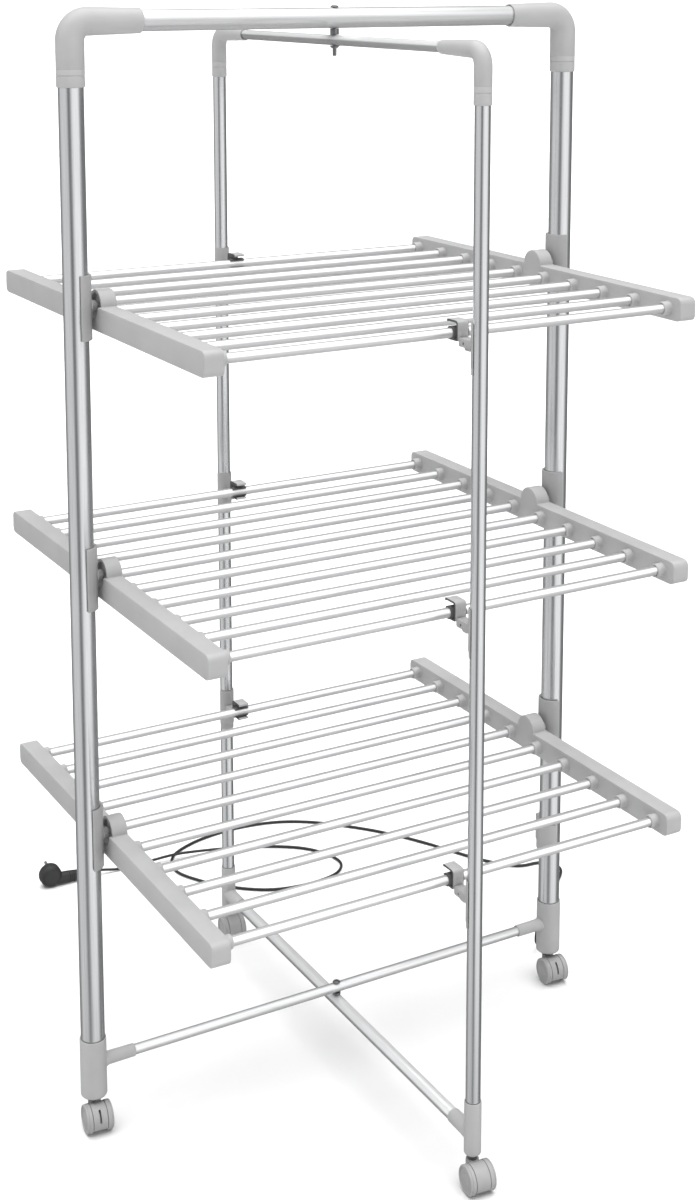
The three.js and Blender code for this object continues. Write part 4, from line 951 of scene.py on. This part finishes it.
# The hood's neck as (radius, height, corner) and the stem as (radius, height)
NECK = [(0, 21.6, 0), (6.6, 21.6, 1.5), (8.1, 25, 2), (8.1, 34, 0.9), (0, 34, 0)]
STEM = [
    (0, 33.6), (5.1, 33.6), (5.3, 34), (5.3, 36), (4.8, 36.4), (4.8, 37), (5.2, 37.4), (5.2, 40),
    (4.9, 40.3), (4, 40.3), (4, 48.2), (3.6, 48.6), (0, 48.6),
]
# Side, place of the swivel axis, and whether the hood has a slot
CASTORS = (
    ("right", WIDE["post_x"], 0, True), ("left", -WIDE["post_x"], 0, True),
    ("rear", 0, NARROW["post_x"], False), ("front", 0, -NARROW["post_x"], False),
)


def wheels_mesh():
    bm = bmesh.new()
    for side in (1, -1):
        lathe(bm, rounded(WHEEL, 3, closed=False), AXLE_PLACE @ facing((side, 0, 0)), WHEEL_SIDES)
    lathe(bm, [(AXLE_RADIUS, -HOOD_HALF), (AXLE_RADIUS, HOOD_HALF)], AXLE, AXLE_SIDES)
    return to_mesh(bm, "wheels")


def slot_mesh():
    half = SLOT_HALF_WIDTH
    slot = bmesh.new()
    block(slot, (-half, -40, WHEEL_RADIUS), (half, -CASTOR_TRAIL, SLOT_TOP), bevel=0.6)
    core = bmesh.new()
    profile = [(0, -CORE_HALF), (CORE_RADIUS, -CORE_HALF), (CORE_RADIUS, CORE_HALF), (0, CORE_HALF)]
    lathe(core, profile, AXLE, CORE_SIDES)
    return carve(to_mesh(slot, "slot"), to_mesh(core, "core"))


def hood_mesh(slotted):
    half = HOOD_HALF
    drum = [(0, -half, 0), (HOOD_RADIUS, -half, 0.2), (HOOD_RADIUS, half, 0.2), (0, half, 0)]
    bm = bmesh.new()
    lathe(bm, rounded(drum, 3, closed=False), AXLE, WHEEL_SIDES)
    below = bmesh.new()
    block(below, (-20, -60, -5), (20, 60, HOOD_BOTTOM), bevel=0.2)
    mesh = carve(to_mesh(bm, "hood_drum"), to_mesh(below, "below"))
    if slotted:
        mesh = carve(mesh, slot_mesh())
    bm = bmesh.new()
    bm.from_mesh(mesh)
    lathe(bm, rounded(NECK, closed=False))
    return to_mesh(bm, "hood")


def stem_mesh():
    bm = bmesh.new()
    lathe(bm, STEM)
    return to_mesh(bm, "stem")


wheels = wheels_mesh()
hoods = {slotted: hood_mesh(slotted) for slotted in (True, False)}
stem = stem_mesh()
for side, x, y, slotted in CASTORS:
    place = moved(x, y, 0) @ turned(CASTOR_TURN)
    dress(f"castor_{side}_housing", hoods[slotted], WHEEL_PLASTIC, place, "hood")
    dress(f"castor_{side}_housing", stem, STEEL, place, "stem")
    dress(f"castor_{side}_wheels", wheels, WHEEL_PLASTIC, place)


# Cord outlet
OUTLET_LOW, OUTLET_HIGH = 197.6, 237.6
OUTLET_BOX_X, OUTLET_BOX_Y = (346, 364), (15.6, 31.3)
RELIEF_X, RELIEF_Y = CORD_POINTS[0][:2]
RELIEF_RIBS, RELIEF_RIB_START, RELIEF_RIB_PITCH = 6, -3, 3.3
RELIEF_RADIUS, RELIEF_TAPER, RELIEF_GROOVE = 5.3, 0.26, 1


def outlet_mesh():
    bm = bmesh.new()
    outline = saddle_outline(WIDE["post_x"], SADDLE_INNER, SADDLE_OUTER, math.pi / 4)
    prism(bm, outline, OUTLET_LOW, OUTLET_HIGH, bevel=0.7)
    (x_low, x_high), (y_low, y_high) = OUTLET_BOX_X, OUTLET_BOX_Y
    block(bm, (x_low, y_low, OUTLET_LOW), (x_high, y_high, OUTLET_HIGH), bevel=2, segments=3)
    return to_mesh(bm, "outlet")


def relief_mesh():
    profile = [(0, 1), (5.4, 1), (5.4, -2)]
    for i in range(RELIEF_RIBS):
        crest = RELIEF_RADIUS - RELIEF_TAPER * i
        groove = crest - RELIEF_GROOVE
        start = RELIEF_RIB_START - RELIEF_RIB_PITCH * i
        profile += [(crest, start), (crest, start - 1.8), (groove, start - 2.1), (groove, start - 3)]
    profile += [(3.6, -23), (3.5, -23.8), (0, -24)]
    bm = bmesh.new()
    lathe(bm, profile, moved(RELIEF_X, RELIEF_Y, OUTLET_LOW), 32)
    return to_mesh(bm, "relief")


dress("cord_outlet", outlet_mesh(), FRAME_PLASTIC)
dress("cord_outlet", relief_mesh(), VINYL, label="strain_relief")


# Floor, lights and world
FLOOR_HALF = 150
FLOOR_COLOR, FLOOR_ROUGHNESS, FLOOR_SPECULAR = grey(0.72), 0.75, 0.1
FLOOR_DARK, FLOOR_LIGHT = (0.715, 0.715, 0.717), (0.735, 0.735, 0.737)
FLOOR_CLOUD_SCALE = 1.6


def add_floor():
    bm = bmesh.new()
    half = FLOOR_HALF
    corners = ((-half, -half), (half, -half), (half, half), (-half, half))
    bm.faces.new([bm.verts.new((x, y, 0)) for x, y in corners])
    mesh = bpy.data.meshes.new("floor")
    bm.to_mesh(mesh)
    bm.free()
    material, tree, shader = new_material("floor_paint", FLOOR_COLOR, FLOOR_ROUGHNESS)
    clouds = add_noise(tree, FLOOR_CLOUD_SCALE)
    tint = ramp_between(tree, clouds, 0.2, 0.8, FLOOR_DARK, FLOOR_LIGHT)
    tree.links.new(tint, shader.inputs["Base Color"])
    shader.inputs["Specular IOR Level"].default_value = FLOOR_SPECULAR
    mesh.materials.append(material)
    floor = bpy.data.objects.new("floor", mesh)
    bpy.context.scene.collection.objects.link(floor)
    floor.visible_glossy = False


# Studio light by direction: share of a full turn from -X, and brightness at low elevation
STUDIO_RING = [
    (0.0, 0.92), (0.075, 0.87), (0.115, 0.25), (0.15, 0.25), (0.2, 0.95), (0.235, 1.3), (0.37, 1.3),
    (0.42, 0.5), (0.46, 0.25), (0.668, 0.26), (0.835, 0.36), (0.9, 0.9), (1.0, 0.92),
]
# Start and end of the blend by height, from -1 straight down to 1 straight up, and brightness
STUDIO_CAPS = ((0.7, 0.88, 2.0), (-0.6, -0.9, 0.5))
# Ramps hold no more than 1, so brightness is divided by this and multiplied again
STUDIO_LIMIT = 2.0
BACKDROP_BRIGHTNESS = 1.1
TOP_LIGHT_STRENGTH, TOP_LIGHT_ANGLE = 3.3, math.radians(70)


def add_world():
    world = bpy.data.worlds.new("studio")
    world.use_nodes = True
    nodes, links = world.node_tree.nodes, world.node_tree.links
    background = nodes["Background"]
    coords = nodes.new("ShaderNodeTexCoord")
    split = nodes.new("ShaderNodeSeparateXYZ")
    links.new(coords.outputs["Generated"], split.inputs["Vector"])
    turn = nodes.new("ShaderNodeMath")
    turn.operation = "ARCTAN2"
    links.new(split.outputs["Y"], turn.inputs[0])
    links.new(split.outputs["X"], turn.inputs[1])
    share = nodes.new("ShaderNodeMapRange")
    share.inputs["From Min"].default_value = -math.pi
    share.inputs["From Max"].default_value = math.pi
    links.new(turn.outputs["Value"], share.inputs["Value"])
    ring = nodes.new("ShaderNodeValToRGB")
    ring.color_ramp.interpolation = "EASE"
    stops = ring.color_ramp.elements
    while len(stops) < len(STUDIO_RING):
        stops.new(0.5)
    for stop, (place, value) in zip(stops, STUDIO_RING):
        stop.position = place
        stop.color = (*grey(value / STUDIO_LIMIT), 1)
    links.new(share.outputs["Result"], ring.inputs["Fac"])
    color = ring.outputs["Color"]
    for start, end, value in STUDIO_CAPS:
        height = nodes.new("ShaderNodeMapRange")
        height.interpolation_type = "SMOOTHSTEP"
        height.inputs["From Min"].default_value = start
        height.inputs["From Max"].default_value = end
        links.new(split.outputs["Z"], height.inputs["Value"])
        blend = nodes.new("ShaderNodeMix")
        blend.data_type = "RGBA"
        links.new(height.outputs["Result"], blend.inputs["Factor"])
        links.new(color, blend.inputs["A"])
        blend.inputs["B"].default_value = (*grey(value / STUDIO_LIMIT), 1)
        color = blend.outputs["Result"]
    links.new(color, background.inputs["Color"])
    background.inputs["Strength"].default_value = STUDIO_LIMIT
    backdrop = nodes.new("ShaderNodeBackground")
    backdrop.inputs["Color"].default_value = (*WHITE, 1)
    backdrop.inputs["Strength"].default_value = BACKDROP_BRIGHTNESS
    path = nodes.new("ShaderNodeLightPath")
    choice = nodes.new("ShaderNodeMixShader")
    links.new(path.outputs["Is Camera Ray"], choice.inputs["Fac"])
    links.new(background.outputs["Background"], choice.inputs[1])
    links.new(backdrop.outputs["Background"], choice.inputs[2])
    links.new(choice.outputs["Shader"], nodes["World Output"].inputs["Surface"])
    bpy.context.scene.world = world


# A broad overhead light, which the metal doesn't mirror
def add_top_light():
    data = bpy.data.lights.new("top_light", "SUN")
    data.energy = TOP_LIGHT_STRENGTH
    data.angle = TOP_LIGHT_ANGLE
    lamp = bpy.data.objects.new("top_light", data)
    lamp.visible_glossy = False
    bpy.context.scene.collection.objects.link(lamp)


add_floor()
add_world()
add_top_light()
bpy.context.scene.view_settings.view_transform = "Standard"
